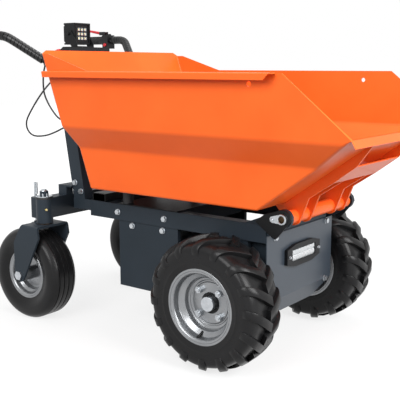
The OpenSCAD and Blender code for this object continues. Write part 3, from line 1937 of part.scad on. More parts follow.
main_frame();
rear_beam();
swivel_bushes();
grease_nipples();
mast();
front_plate();
front_light_frame();
front_light_lens();
frame_bolts();
battery_box();
batteries();
battery_lid();
rest_beam();
rest_buffers();
tub_catch();
transaxle();
drive_motor();
motor_controller();
charge_socket();
pivot_pin();
console();
battery_gauge();
handlebars();
spiral_wraps();
left_grip();
throttle_housing();
switch_pod();
light_bracket();
cable_upper();
cable_lower();
tub();
chute_ribs();
pivot_tube();
pivot_bushes();
drive_axle(RIGHT);  // right_drive_axle
drive_rim(RIGHT);  // right_drive_rim
drive_tyre(RIGHT);  // right_drive_tyre
lug_nuts(RIGHT);  // right_lug_nuts
drive_axle(LEFT);  // left_drive_axle
drive_rim(LEFT);  // left_drive_rim
drive_tyre(LEFT);  // left_drive_tyre
lug_nuts(LEFT);  // left_lug_nuts
fork(RIGHT);  // right_fork
caster_fasteners(RIGHT);  // right_caster_fasteners
caster_rim(RIGHT);  // right_caster_rim
caster_tyre(RIGHT);  // right_caster_tyre
fork(LEFT);  // left_fork
caster_fasteners(LEFT);  // left_caster_fasteners
caster_rim(LEFT);  // left_caster_rim
caster_tyre(LEFT);  // left_caster_tyre
lock_pin(RIGHT);  // right_lock_pin
lock_pin(LEFT);  // left_lock_pin
throttle_grip();
brake_lever();
horn_button();
direction_switch();
key();
stop_button();
work_light();
work_light_lens();
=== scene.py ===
# %% [markdown]
# # A concrete buggy
# The machine carries wet concrete: an orange tub tips over two lugged wheels, and a mast at
# the back carries the handlebars. The solids give every place and size, so this lesson starts
# by loading them, and then dresses them piece by piece in the same metres.

# %% Load the solids
import json
from math import cos, pi, radians, sin, tan

import bmesh
import bpy
from mathutils import Matrix, Vector

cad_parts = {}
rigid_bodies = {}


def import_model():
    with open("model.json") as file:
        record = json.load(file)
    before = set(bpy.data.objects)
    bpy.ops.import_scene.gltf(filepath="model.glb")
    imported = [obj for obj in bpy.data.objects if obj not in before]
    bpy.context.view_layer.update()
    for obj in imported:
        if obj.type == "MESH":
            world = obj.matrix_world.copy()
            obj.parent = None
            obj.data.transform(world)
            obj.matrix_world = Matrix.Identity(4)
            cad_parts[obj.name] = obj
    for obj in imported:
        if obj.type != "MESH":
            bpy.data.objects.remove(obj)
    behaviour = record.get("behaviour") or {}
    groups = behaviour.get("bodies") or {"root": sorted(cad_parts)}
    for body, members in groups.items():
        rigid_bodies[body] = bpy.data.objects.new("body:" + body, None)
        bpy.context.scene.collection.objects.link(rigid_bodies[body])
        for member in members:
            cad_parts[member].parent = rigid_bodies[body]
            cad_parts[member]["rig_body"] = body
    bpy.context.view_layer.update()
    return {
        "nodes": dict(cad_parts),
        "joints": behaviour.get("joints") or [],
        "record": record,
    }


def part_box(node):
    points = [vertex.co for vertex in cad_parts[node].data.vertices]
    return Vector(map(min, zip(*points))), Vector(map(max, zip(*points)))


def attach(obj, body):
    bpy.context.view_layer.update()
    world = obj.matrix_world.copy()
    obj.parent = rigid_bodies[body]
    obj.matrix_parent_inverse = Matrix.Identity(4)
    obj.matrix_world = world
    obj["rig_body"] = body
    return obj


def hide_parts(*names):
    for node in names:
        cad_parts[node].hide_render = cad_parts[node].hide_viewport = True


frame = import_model()
scene = bpy.context.scene
scene.view_settings.view_transform = "Standard"
MM = 0.001
slot_of = {part["node"]: part["material_slot"] for part in frame["record"]["subparts"]}

# %% [markdown]
# ## Camera
# The picture was taken from the front right, a little above the rim of the tub. A long lens
# keeps the wheels round, so the camera stands well back.

# %% Camera
LENS_MM, SENSOR_MM = 68.42, 36
CAMERA_AT, CAMERA_DOWN, CAMERA_TURN = (1.6086, -2.0560, 0.8908), 10.053, 37.036


def linked(name, data):
    """A new object in the scene that shows the data."""
    made = bpy.data.objects.new(name, data)
    scene.collection.objects.link(made)
    return made


lens = bpy.data.cameras.new("studio_camera")
lens.sensor_width = SENSOR_MM
lens.lens = LENS_MM
camera = linked("studio_camera", lens)
camera.location = CAMERA_AT
camera.rotation_euler = (radians(90 - CAMERA_DOWN), 0, radians(CAMERA_TURN))
scene.camera = camera
print("camera at", tuple(camera.location))

# %% [markdown]
# ## Hanging cables
# Two thin cables leave the right handlebar and the mast, sag behind the mast and come back to
# it. A curve with a round bevel is the natural form for a cable: the points are its route, in
# millimetres, and a Catmull-Rom spline runs smoothly through every one of them.

# %% Cables
CABLE_D = 6
UPPER_ROUTE = [(-461, -216, 894), (-470, -210, 888), (-483, -206, 864), (-489, -204, 830),
               (-486, -203, 790), (-466, -200, 750), (-438, -194, 714), (-416, -190, 700),
               (-403, -190, 702)]
LOWER_ROUTE = [(-427, -190, 850), (-440, -190, 848), (-464, -208, 818), (-490, -224, 780),
               (-530, -228, 732), (-558, -228, 692), (-556, -226, 660), (-528, -222, 640),
               (-480, -210, 642), (-440, -198, 656), (-411, -190, 670), (-398, -190, 672)]
ROUTE_STEPS, CABLE_ROUNDNESS = 3, 5


def smooth_route(route):
    """Points in metres on a Catmull-Rom spline through a route in millimetres."""
    places = [Vector(p) * MM for p in route]
    ends = [places[0]] + places + [places[-1]]
    smooth = []
    for a, b, c, d in zip(ends, ends[1:], ends[2:], ends[3:]):
        for step in range(ROUTE_STEPS):
            t = step / ROUTE_STEPS
            smooth.append(0.5 * (2 * b + (c - a) * t + (2 * a - 5 * b + 4 * c - d) * t ** 2
                                 + (3 * b - a - 3 * c + d) * t ** 3))
    return smooth + [places[-1]]


def poly_curve(name, places):
    """A curve of straight stretches through places in metres."""
    curve = bpy.data.curves.new(name, "CURVE")
    curve.dimensions = "3D"
    spline = curve.splines.new("POLY")
    spline.points.add(len(places) - 1)
    for point, place in zip(spline.points, places):
        point.co = (*place, 1)
    return linked(name, curve)


def hanging_cable(name, route, node):
    """A round cable along a route in millimetres, which stands for a CAD node."""
    places = smooth_route(route)
    cable = poly_curve(name, places)
    cable.data.bevel_depth = CABLE_D / 2 * MM
    cable.data.bevel_resolution = CABLE_ROUNDNESS
    cable.data.use_fill_caps = True
    cable.data.splines[0].use_smooth = True
    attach(cable, "chassis")
    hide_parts(node)
    return cable


cables = [hanging_cable("light_cable", UPPER_ROUTE, "cable_upper"),
          hanging_cable("throttle_cable", LOWER_ROUTE, "cable_lower")]

# %% [markdown]
# ## Finishes
# Every finish is built from nodes. Colours are picked as hex values, as they look on a screen,
# and the shader works in linear light, so one function converts them. Another one adds a node
# with its settings and links, which keeps the trees below short.

# %% Colours and nodes


def linear(hex_colour):
    """A hex colour such as #ff8000 as linear red, green, blue and alpha."""
    channels = [int(hex_colour[i:i + 2], 16) / 255 for i in (1, 3, 5)]
    return [c / 12.92 if c <= 0.04045 else ((c + 0.055) / 1.055) ** 2.4 for c in channels] + [1]


def add(tree, kind, links=None, **settings):
    """Adds a node; links are values or other nodes' outputs for its inputs."""
    made = tree.nodes.new(kind)
    for name, value in settings.items():
        setattr(made, name, value)
    for name, value in (links or {}).items():
        if isinstance(value, bpy.types.NodeSocket):
            tree.links.new(value, made.inputs[name])
        else:
            made.inputs[name].default_value = value
    return made


print("orange is", [round(c, 3) for c in linear("#ee6428")])

# %% [markdown]
# ## One recipe for coats and castings
# Powder coat, lacquer, rubber and cast metal differ in colour, gloss and grain, but are built
# alike: wide soft patches vary the colour a little, and a fine grain gives the roughness and a
# shallow relief. The sizes are real ones in millimetres, which divide the texture's scale.

# %% Recipe
PATCH_RANGE, PATCH_DETAIL = (0.35, 0.7), 4.0
GRAIN_RANGE, GRAIN_DETAIL = (0.3, 0.7), 2.0
MIX_A, MIX_B, MIX_RESULT = 6, 7, 2  # the colour sockets of a Mix node, which share their names


def finish(name, colour, shade, patch_mm, grain_mm, relief_mm, roughness, **shader):
    """A finish whose colour drifts to a shade over patches, with a grain in gloss and relief."""
    material = bpy.data.materials.new(name)
    material.use_nodes = True
    tree = material.node_tree
    glossy = tree.nodes["Principled BSDF"]
    place = add(tree, "ShaderNodeTexCoord").outputs["Object"]
    patches = add(tree, "ShaderNodeTexNoise",
                  {"Vector": place, "Scale": 1 / (patch_mm * MM), "Detail": PATCH_DETAIL})
    grain = add(tree, "ShaderNodeTexNoise",
                {"Vector": place, "Scale": 1 / (grain_mm * MM), "Detail": GRAIN_DETAIL})
    drift = add(tree, "ShaderNodeMapRange",
                {"Value": patches.outputs["Fac"], "From Min": PATCH_RANGE[0],
                 "From Max": PATCH_RANGE[1]})
    colours = add(tree, "ShaderNodeMix",
                  {"Factor": drift.outputs["Result"]}, data_type="RGBA")
    colours.inputs[MIX_A].default_value = linear(colour)
    colours.inputs[MIX_B].default_value = linear(shade)
    gloss = add(tree, "ShaderNodeMapRange",
                {"Value": grain.outputs["Fac"], "From Min": GRAIN_RANGE[0],
                 "From Max": GRAIN_RANGE[1], "To Min": roughness[0], "To Max": roughness[1]})
    relief = add(tree, "ShaderNodeBump",
                 {"Height": grain.outputs["Fac"], "Distance": relief_mm * MM})
    tree.links.new(colours.outputs[MIX_RESULT], glossy.inputs["Base Color"])
    tree.links.new(gloss.outputs["Result"], glossy.inputs["Roughness"])
    tree.links.new(relief.outputs["Normal"], glossy.inputs["Normal"])
    for socket, value in shader.items():
        glossy.inputs[socket.replace("_", " ")].default_value = value
    return material


print("noise is stretched from", PATCH_RANGE, "for patches and", GRAIN_RANGE, "for grain")

# %% [markdown]
# ## Paints
# The tub and the frame are powder coated: dry paint is dusted on and baked to a tough skin. It is
# glossy on the tub, with a faint orange peel that is drawn coarser than the real 1 mm so that it
# shows, and finer and duller on the dark frame. The front plate is a little glossier than the frame
# and painted a little paler, which is painted light for the light that it reflects, and the rims
# have a silver lacquer.

# %% Paints
finishes = {
    "tub_paint": finish("gloss_orange_powder_coat", "#fb6c29", "#f26423", 220, 4, 0.05,
                        (0.3, 0.36), Specular_IOR_Level=0.22),
    "frame_paint": finish("anthracite_powder_coat", "#2d353d", "#293138", 160, 2.5, 0.06,
                          (0.38, 0.48), Specular_IOR_Level=0.16),
    # The front plate's paler anthracite is painted light: it stands for the light that the plate
    # reflects.
    "plate_paint": finish("satin_anthracite_powder_coat", "#39414a", "#343c45", 160, 2.5, 0.04,
                          (0.3, 0.38), Specular_IOR_Level=0.5),
    "black_paint": finish("black_powder_coat", "#151618", "#111214", 120, 2.5, 0.05,
                          (0.36, 0.46), Specular_IOR_Level=0.22),
    "motor_paint": finish("black_enamel", "#1b1c1e", "#161719", 80, 3, 0.04, (0.3, 0.42)),
    "rim_paint": finish("silver_rim_lacquer", "#939597", "#85878a", 60, 2, 0.02,
                        (0.26, 0.36), Metallic=0.8),
}
print("paints:", len(finishes))

# %% [markdown]
# ## Metals
# Bolts, nuts and pins are zinc plated, which looks bright with a soft bluish haze. The bushes
# are bronze, dark with oil, the grease nipples are turned brass, and the gear case is cast in
# sand and so grainy. A metal takes its whole colour from what it reflects, so Metallic is high.
# The lights' castings are anodised black: that skin hides the metal, so their Metallic is 0.

# %% Metals
finishes.update({
    "zinc_steel": finish("zinc_plated_steel", "#c3c7cb", "#aeb2b6", 14, 1.5, 0.01,
                         (0.24, 0.36), Metallic=1.0),
    "bush_bronze": finish("oiled_bronze", "#4a3a28", "#3c2f21", 12, 1.2, 0.01,
                          (0.4, 0.5), Metallic=0.9),
    "brass": finish("turned_brass", "#d9cb97", "#cbb97f", 12, 1.2, 0.01,
                    (0.3, 0.4), Metallic=1.0),
    "gear_case": finish("sand_cast_aluminium", "#7f8286", "#6f7276", 30, 2.5, 0.25,
                        (0.45, 0.6), Metallic=0.9),
    "controller_case": finish("extruded_aluminium", "#9b9ea2", "#8f9296", 40, 2, 0.03,
                              (0.35, 0.45), Metallic=0.9),
    "light_casting": finish("black_anodised_casting", "#121315", "#0e0f11", 24, 1.6, 0.06,
                            (0.36, 0.48), Specular_IOR_Level=0.25),
})
print("with metals:", len(finishes))

# %% [markdown]
# ## Rubbers and plastics
# Moulded tyre rubber is satin black with a grey bloom. The tread's rubber is painted paler than the
# carcass, as painted light for the light on the lugs' faces. The grips are duller, the cable sheath
# is smooth, and the plastic mouldings have the fine texture of a spark-eroded mould. Black things
# still reflect a white room, so their specular level is kept low.

# %% Rubbers and plastics
finishes.update({
    "tyre_rubber": finish("moulded_tyre_rubber", "#131314", "#181819", 70, 3, 0.08,
                          (0.26, 0.38), Specular_IOR_Level=0.22),
    # The tread's paler colour is painted light: it stands for the light on the lugs' faces.
    "tread_rubber": finish("buffed_tread_rubber", "#1d1d1e", "#232324", 50, 3, 0.08,
                           (0.3, 0.42), Specular_IOR_Level=0.4),
    "buffer_rubber": finish("moulded_buffer_rubber", "#242527", "#1c1d1f", 20, 2, 0.06,
                            (0.55, 0.7)),
    "grip_rubber": finish("moulded_grip_rubber", "#1a1b1c", "#151617", 20, 1.6, 0.06,
                          (0.48, 0.6), Specular_IOR_Level=0.35),
    "cable_sheath": finish("extruded_pvc_sheath", "#191a1c", "#141517", 40, 3, 0.02,
                           (0.34, 0.42)),
    "wrap_plastic": finish("polyethylene_spiral_wrap", "#111213", "#0d0e0f", 30, 3, 0.02,
                           (0.24, 0.32), Specular_IOR_Level=0.35),
    "black_plastic": finish("moulded_black_abs", "#141517", "#101113", 30, 1.4, 0.05,
                            (0.36, 0.46), Specular_IOR_Level=0.28),
    "red_plastic": finish("moulded_red_abs", "#d21f2b", "#c01b26", 20, 2, 0.02, (0.22, 0.3)),
    "battery_case": finish("moulded_polypropylene", "#2b2e33", "#25282d", 40, 2, 0.05,
                           (0.45, 0.55)),
    "light_lens": finish("clear_polycarbonate", "#eef2f4", "#e6ebee", 30, 4, 0.01,
                         (0.05, 0.08), Transmission_Weight=0.35, IOR=1.58),
})
for cable in cables:
    cable.data.materials.append(finishes["cable_sheath"])
print("finishes in all:", len(finishes))

# %% [markdown]
# ## Making a piece
# A finished piece is a mesh at the origin that takes its finish from a slot of the record,
# moves with a body and stands for one or more solids. One function does that for every piece.

# %% Pieces
SMOOTH_ANGLE = radians(38)


def piece(name, mesh, *nodes, body=None, slot=None, look=None):
    """Puts a mesh in the scene as a piece that stands for CAD nodes."""
    for face in mesh.polygons:
        face.use_smooth = True
    mesh.set_sharp_from_angle(angle=SMOOTH_ANGLE)
    slot = slot or slot_of[nodes[0]]
    mesh.materials.clear()
    mesh.materials.append(finishes[look or slot])
    made = linked(name, mesh)
    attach(made, body or frame["nodes"][nodes[0]]["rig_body"])
    if nodes:
        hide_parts(*nodes)
    return made


print("edges over", round(SMOOTH_ANGLE, 3), "radians stay sharp")

# %% [markdown]
# ## Softened solids
# Welded tubes, plates and castings never have knife edges: a mill-rolled tube has round
# corners of a few millimetres, and a cut plate is ground. Their solids are right in shape, so
# each is copied, doubled points are merged, flat facets are joined, and a Bevel rounds every
# sharp edge. How far is a list in millimetres, because a large tube is rounder than a nut.

# %% Roundings
OUTBOARD = {"right": -1, "left": 1}
EDGE_MM = {
    "main_frame": 3, "rear_beam": 3, "mast": 3, "front_plate": 1, "battery_box": 2,
    "battery_lid": 0.8, "batteries": 3, "rest_beam": 3, "rest_buffers": 2, "tub_catch": 0.8,
    "transaxle": 4, "drive_motor": 1.5, "motor_controller": 1, "charge_socket": 1.5,
    "pivot_tube": 1, "pivot_bushes": 0.6, "swivel_bushes": 0.5, "grease_nipples": 0.4,
    "front_light_frame": 2, "frame_bolts": 0.6, "handlebars": 1.5, "throttle_housing": 2,
    "switch_pod": 2, "console": 4, "battery_gauge": 1.2, "light_bracket": 0.8, "work_light": 1.6,
    "brake_lever": 2, "horn_button": 1.2, "direction_switch": 1, "key": 0.6, "stop_button": 2.5,
}
for side in OUTBOARD:
    EDGE_MM.update({f"{side}_fork": 1.6, f"{side}_caster_fasteners": 0.8,
                    f"{side}_lock_pin": 0.8, f"{side}_lug_nuts": 0.8,
                    f"{side}_drive_axle": 1})
LOOKS = {"front_plate": "plate_paint", "grease_nipples": "brass"}
print("roundings for", len(EDGE_MM), "solids")

# %% [markdown]
# ## Rounding the solids
# Harden Normals keeps the flat faces flat in the light. The forks are bent from thick plate, so
# their upper bends are rounded first, and the plain nuts on top of the swivel stems are cut away
# to make room for the domed ones of a later step.

# %% Softened solids
FORK_BEND, BEND_SEGMENTS, STEM_NUT_Z = 13, 5, 400
BENDS = {side + "_fork": FORK_BEND for side in OUTBOARD}
TOPS = {side + "_caster_fasteners": STEM_NUT_Z for side in OUTBOARD}
MERGE_M, SAME_M, FLAT_ANGLE = 1e-5, 1e-4, radians(0.6)


def bent(shape, bend):
    """Rounds the long upper edges of a bent plate, which lie at the top of its outer faces."""
    widths = [abs(v.co.y) for v in shape.verts]
    sides = (min(widths), max(widths))
    top = max(v.co.z for v in shape.verts if abs(v.co.y) > sides[1] - SAME_M)
    folds = [edge for edge in shape.edges
             if all(abs(v.co.z - top) < SAME_M for v in edge.verts)
             and any(all(abs(abs(v.co.y) - y) < SAME_M for v in edge.verts) for y in sides)]
    bmesh.ops.bevel(shape, geom=folds, offset=bend * MM, segments=BEND_SEGMENTS, profile=0.5,
                    affect="EDGES")


def eased(made, edge):
    """Rounds a piece's sharp edges by a bevel of edge millimetres."""
    rounding = made.modifiers.new("rounding", "BEVEL")
    rounding.width = edge * MM
    rounding.segments = 2
    rounding.limit_method = "ANGLE"
    rounding.angle_limit = SMOOTH_ANGLE
    rounding.harden_normals = True
    return made


def as_mesh(name, shape):
    """Turns a bmesh into a mesh and frees it."""
    mesh = bpy.data.meshes.new(name)
    shape.to_mesh(mesh)
    shape.free()
    return mesh


def softened(node, edge, look=None):
    """A copy of a solid with its sharp edges rounded by edge millimetres."""
    shape = bmesh.new()
    shape.from_mesh(frame["nodes"][node].data)
    bmesh.ops.remove_doubles(shape, verts=shape.verts, dist=MERGE_M)
    bmesh.ops.dissolve_limit(shape, angle_limit=FLAT_ANGLE, verts=shape.verts, edges=shape.edges)
    if node in BENDS:
        bent(shape, BENDS[node])
    if node in TOPS:
        above = [v for v in shape.verts if v.co.z > TOPS[node] * MM]
        bmesh.ops.delete(shape, geom=above, context="VERTS")
    name = node + "_soft"
    return eased(piece(name, as_mesh(name, shape), node, look=look), edge)


for node, edge in EDGE_MM.items():
    softened(node, edge, LOOKS.get(node))
print("softened", len(EDGE_MM), "solids")

# %% [markdown]
# ## Turned shapes
# Tyres, rims and grips are round about an axle. A closed outline of radius and place along the
# axle is spun into a ring, and a second function rounds the outline's corners first, the way
# a tool radius does. Two neighbouring rings of points are bridged by a band of faces.

# %% Turning
AXLE_ORDER = {"X": (2, 0, 1), "Y": (0, 2, 1), "Z": (0, 1, 2)}
CORNER_SHARE = 0.49  # the most of an edge that the rounding of one corner takes
SEAM_M = 1e-6


def rounded(corners, steps=4):
    """An outline of (radius, along, rounding) corners in mm with each corner cut to a curve."""
    outline = []
    for i, (radius, along, cut) in enumerate(corners):
        corner = Vector((radius, along))
        before = Vector(corners[i - 1][:2]) - corner
        after = Vector(corners[(i + 1) % len(corners)][:2]) - corner
        if cut == 0:
            outline.append(corner)
            continue
        start = corner + before.normalized() * min(cut, before.length * CORNER_SHARE)
        end = corner + after.normalized() * min(cut, after.length * CORNER_SHARE)
        for step in range(steps + 1):
            t = step / steps
            outline.append(start * (1 - t) ** 2 + corner * 2 * t * (1 - t) + end * t ** 2)
    return outline


def bridge(shape, one, other):
    """Joins two closed rings of as many points with a band of faces."""
    for j in range(len(one)):
        shape.faces.new((one[j - 1], one[j], other[j], other[j - 1]))


def turned(shape, outline, axis="Y", steps=96):
    """Spins a closed outline in mm about an axis through the origin, into a bmesh."""
    rings = []
    for i in range(steps):
        turn = 2 * pi * i / steps
        spun = [(r * cos(turn), r * sin(turn), along) for r, along in outline]
        rings.append([shape.verts.new([p[k] * MM for k in AXLE_ORDER[axis]]) for p in spun])
    for ring, following in zip(rings, rings[1:] + rings[:1]):
        bridge(shape, ring, following)


def finished_mesh(name, shape, place=(0, 0, 0)):
    """Closes a bmesh's seams, turns its faces outwards and moves it to its place in metres."""
    bmesh.ops.remove_doubles(shape, verts=shape.verts, dist=SEAM_M)
    bmesh.ops.recalc_face_normals(shape, faces=shape.faces)
    bmesh.ops.translate(shape, verts=shape.verts, vec=place)
    return as_mesh(name, shape)


def centre_of(node):
    """The middle of a CAD node's box, in metres."""
    low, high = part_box(node)
    return (low + high) / 2


print("drive wheel centre:", [round(c, 3) for c in centre_of("right_drive_tyre")])

# %% [markdown]
# ## Drive tyres
# The tyres have a smooth carcass with two rows of slanting lugs that meet in a chevron. The
# carcass is turned. A lug is a bar swept over the crown, round the shoulder and down the
# sidewall, with flanks that lean outwards so that it leaves its mould: each station of the
# sweep is a small section below the tread's skin.

# %% Carcass
TYRE_R, TYRE_W = 203, 165
LUG_H, LUG_SIDE = 16, 5
BEAD_R, FLANGE_R, RIM_HALF = 101.5, 115.5, 70
TYRE_STEPS = 120


def carcass_corners(side):
    """Half of the carcass, from the middle of its crown over the sidewall to its bead."""
    radius, half = TYRE_R - LUG_H, TYRE_W / 2 - LUG_SIDE
    return [(radius + 1, side * 19, 10), (radius + 1, side * 51, 12), (radius - 8, side * 72, 11),
            (161.5, side * (half + 0.5), 11), (136, side * (half - 1.5), 8),
            (131, side * (half - 0.5), 2), (127, side * (half - 1.5), 2), (119, side * 74.5, 3),
            (BEAD_R, side * RIM_HALF, 2)]


carcass = rounded(carcass_corners(1)[::-1] + carcass_corners(-1))
print("carcass outline of", len(carcass), "points")

# %% [markdown]
# ## A lug of the tread
# One lug is drawn in wheel coordinates with its tip at the top of the tyre. It has few faces,
# because it is repeated many times, and it is lower at the shoulder, where it runs out.

# %% Lug
LUG_TOP, LUG_FOOT, LUG_SWEEP, LUG_OVERLAP = 27, 38, 60, 8
LUG_SECTION = [(20, -LUG_FOOT / 2), (3, -LUG_TOP / 2 - 1.5), (0.8, -LUG_TOP / 2 - 0.6),
               (0, -LUG_TOP / 2 + 1), (0, LUG_TOP / 2 - 1), (0.8, LUG_TOP / 2 + 0.6),
               (3, LUG_TOP / 2 + 1.5), (20, LUG_FOOT / 2)]
skin = rounded([(TYRE_R, -LUG_OVERLAP, 0), (TYRE_R, 20, 10), (TYRE_R - 4, 54.5, 12),
                (TYRE_R - 20, 75.5, 11), (166, 80.5, 6), (154, 78, 0)])
shape = bmesh.new()
stations = []
for i, spot in enumerate(skin):
    along = skin[min(i + 1, len(skin) - 1)] - skin[max(i - 1, 0)]
    outward = Vector((along.y, -along.x)).normalized()
    lead = -LUG_SWEEP * (spot.y + LUG_OVERLAP) / (TYRE_W / 2 + LUG_OVERLAP)
    station = []
    for depth, across in LUG_SECTION:
        radius, offset = spot - outward * depth
        turn = (lead + across) / TYRE_R
        station.append(shape.verts.new(Vector((radius * sin(turn), offset,
                                               radius * cos(turn))) * MM))
    stations.append(station)
for one, other in zip(stations, stations[1:]):
    bridge(shape, one, other)
shape.faces.new(stations[0])
shape.faces.new(stations[-1])
lug = linked("tread_lug", finished_mesh("tread_lug", shape))
print("a lug has", len(lug.data.polygons), "faces")

# %% [markdown]
# ## Tread
# Sixteen lugs stand on each half of the tread, and the second row is the mirror of the first,
# half a pitch on. That is a rule, so Geometry Nodes make it: instances of the lug are turned
# about the axle by their index, the mirrored row has its faces flipped, and both are realised.

# %% Tread tree


def new_tree(name, *inputs):
    """A Geometry Nodes tree with named inputs, as (name, socket type) pairs."""
    tree = bpy.data.node_groups.new(name, "GeometryNodeTree")
    for label, kind in inputs:
        tree.interface.new_socket(label, in_out="INPUT", socket_type=kind)
    tree.interface.new_socket("Geometry", in_out="OUTPUT", socket_type="NodeSocketGeometry")
    return tree, add(tree, "NodeGroupInput"), add(tree, "NodeGroupOutput")


def settled(made):
    """Turns an object with modifiers into a plain mesh and removes the object."""
    mesh = bpy.data.meshes.new_from_object(
        made.evaluated_get(bpy.context.evaluated_depsgraph_get()))
    bpy.data.objects.remove(made)
    return mesh


def grown(name, tree, **values):
    """The plain mesh that a tree makes with these inputs, the underscores being spaces."""
    holder = linked(name, bpy.data.meshes.new(name))
    modifier = holder.modifiers.new(name, "NODES")
    modifier.node_group = tree
    for socket in tree.interface.items_tree:
        value = values.get(socket.name.replace(" ", "_"))
        if socket.in_out == "INPUT" and value is not None:
            modifier[socket.identifier] = value
    return settled(holder)


tread, given, result = new_tree(
    "tread", ("Lug", "NodeSocketObject"), ("Lugs a row", "NodeSocketInt"),
    ("First turn", "NodeSocketFloat"), ("Rubber", "NodeSocketMaterial"))
lug_shape = add(tread, "GeometryNodeObjectInfo", {"Object": given.outputs["Lug"]})
places = add(tread, "GeometryNodePoints", {"Count": given.outputs["Lugs a row"]})
index = add(tread, "GeometryNodeInputIndex")
rows = []
for start, mirrored in ((0.0, 1.0), (0.5, -1.0)):
    step = add(tread, "ShaderNodeMath", {0: index.outputs[0], 1: start}, operation="ADD")
    share = add(tread, "ShaderNodeMath", {0: step.outputs[0], 1: given.outputs["Lugs a row"]},
                operation="DIVIDE")
    angle = add(tread, "ShaderNodeMath",
                {0: share.outputs[0], 1: 2 * pi, 2: given.outputs["First turn"]},
                operation="MULTIPLY_ADD")
    turn = add(tread, "ShaderNodeCombineXYZ", {"Y": angle.outputs[0]})
    row = add(tread, "GeometryNodeInstanceOnPoints",
              {"Points": places.outputs[0], "Instance": lug_shape.outputs["Geometry"],
               "Rotation": turn.outputs[0], "Scale": (1, mirrored, 1)})
    rows.append(add(tread, "GeometryNodeRealizeInstances", {0: row.outputs[0]}))
flipped = add(tread, "GeometryNodeFlipFaces", {0: rows[1].outputs[0]})
both = add(tread, "GeometryNodeJoinGeometry", {0: rows[0].outputs[0]})
tread.links.new(flipped.outputs[0], both.inputs[0])
clad = add(tread, "GeometryNodeSetMaterial",
           {"Geometry": both.outputs[0], "Material": given.outputs["Rubber"]})
tread.links.new(clad.outputs[0], result.inputs[0])
LUGS_A_ROW, FIRST_LUG = 16, 12.3
tread_mesh = grown("tread_lugs", tread, Lug=lug, Lugs_a_row=LUGS_A_ROW,
                   First_turn=radians(FIRST_LUG), Rubber=finishes["tread_rubber"])
bpy.data.objects.remove(lug)
print("the tread has", len(tread_mesh.polygons), "faces")

# %% [markdown]
# ## Tyres on both sides
# Carcass and tread become one mesh on each side. The right one is the mirror of the left, so
# that both chevrons point the same way when the machine drives forward.

# %% Tyres on both sides
for side in OUTBOARD:
    node = side + "_drive_tyre"
    shape = bmesh.new()
    turned(shape, carcass, steps=TYRE_STEPS)
    shape.from_mesh(tread_mesh)
    bmesh.ops.scale(shape, verts=shape.verts, vec=(1, OUTBOARD[side], 1))
    piece(side + "_lugged_tyre", finished_mesh(node, shape, centre_of(node)), node)
print("two lugged tyres")

# %% [markdown]
# ## Wheel rims
# A pressed steel rim is rolled from sheet: a curled flange with a fine groove, a bead seat, and
# a drop centre. The wheel disc is pressed separately and welded in, with a ring groove near its
# edge and a round hole for the hub. Both are turned from one outline each.

# %% Drive rims
RIM_SHEET = 4


def rim_outline(bead, flange, half, well, seat, slope):
    """A rolled rim: its tyre side from the outer flange to the inner one, and back inside."""
    tyre_side = [(flange, half, 1.2), (bead, half, 4), (bead, half - seat, 5),
                 (well, half - seat - slope, 5)]
    inside = [(well - RIM_SHEET, half - seat - slope + 1.5, 5),
              (bead - RIM_SHEET, half - seat + 1.5, 5), (bead - RIM_SHEET, half - 3, 4),
              (bead, half + 2.6, 3), (bead + 5.2, half + 3.4, 0.3), (bead + 5.8, half + 2.2, 0.3),
              (bead + 6.4, half + 3.6, 0.3), (flange - 2.5, half + RIM_SHEET, 1.5),
              (flange, half + RIM_SHEET - 1.4, 1.2)]
    other = [(r, -a, cut) for r, a, cut in tyre_side[::-1]]
    back = [(r, -a, cut) for r, a, cut in inside[::-1]]
    return rounded(tyre_side + other + back + inside)


DISC_OUT, DISC_T, PILOT_R = 18, 6, 32
drive_disc = rounded([
    (PILOT_R, DISC_OUT - DISC_T, 0.6), (PILOT_R, DISC_OUT, 0.8), (62, DISC_OUT, 1.5),
    (64, DISC_OUT - 3, 1.2), (68, DISC_OUT - 3, 1.2), (70, DISC_OUT, 1.5), (77, DISC_OUT + 0.5, 2),
    (79, DISC_OUT + 3.5, 1), (81, DISC_OUT + 3.5, 0.8), (81, DISC_OUT - DISC_T - 2, 1),
    (74, DISC_OUT - DISC_T, 2)])
drive_rim = rim_outline(BEAD_R, FLANGE_R, RIM_HALF, 83.5, 24, 10)
for side, out in OUTBOARD.items():
    node = side + "_drive_rim"
    shape = bmesh.new()
    turned(shape, drive_rim)
    turned(shape, [(r, out * a) for r, a in drive_disc])
    piece(side + "_pressed_rim", finished_mesh(node, shape, centre_of(side + "_drive_tyre")), node)
print("two pressed rims")

# %% [markdown]
# ## Casters
# The casters have ribbed tyres with four grooves round the crown, on small pressed rims with a
# long hub. They are turned in the same way as the drive wheels.

# %% Caster wheels
CASTER_R, CASTER_W = 162, 116
CASTER_BEAD_R, CASTER_FLANGE_R, CASTER_RIM_HALF, CASTER_WELL_R = 76, 89, 42, 64
GROOVE_W, GROOVE_D, GROOVE_SHARES = 4, 4, (0.27, 0.09)


def caster_corners(side):
    """Half of a caster tyre, from its bead over the sidewall to the middle of its crown."""
    half = CASTER_W / 2
    corners = [(CASTER_BEAD_R, side * CASTER_RIM_HALF, 2), (91.5, side * 45, 2),
               (94.5, side * 47, 2), (111, side * (half - 3), 6), (126, side * half, 14),
               (150.4, side * 53.4, 10), (160.3, side * 38.3, 5)]
    for share in GROOVE_SHARES:
        for place, radius in ((0.5, CASTER_R), (0.35, CASTER_R - GROOVE_D),
                              (-0.35, CASTER_R - GROOVE_D), (-0.5, CASTER_R)):
            corners.append((radius, side * (share * CASTER_W + place * GROOVE_W), 0.6))
    return corners


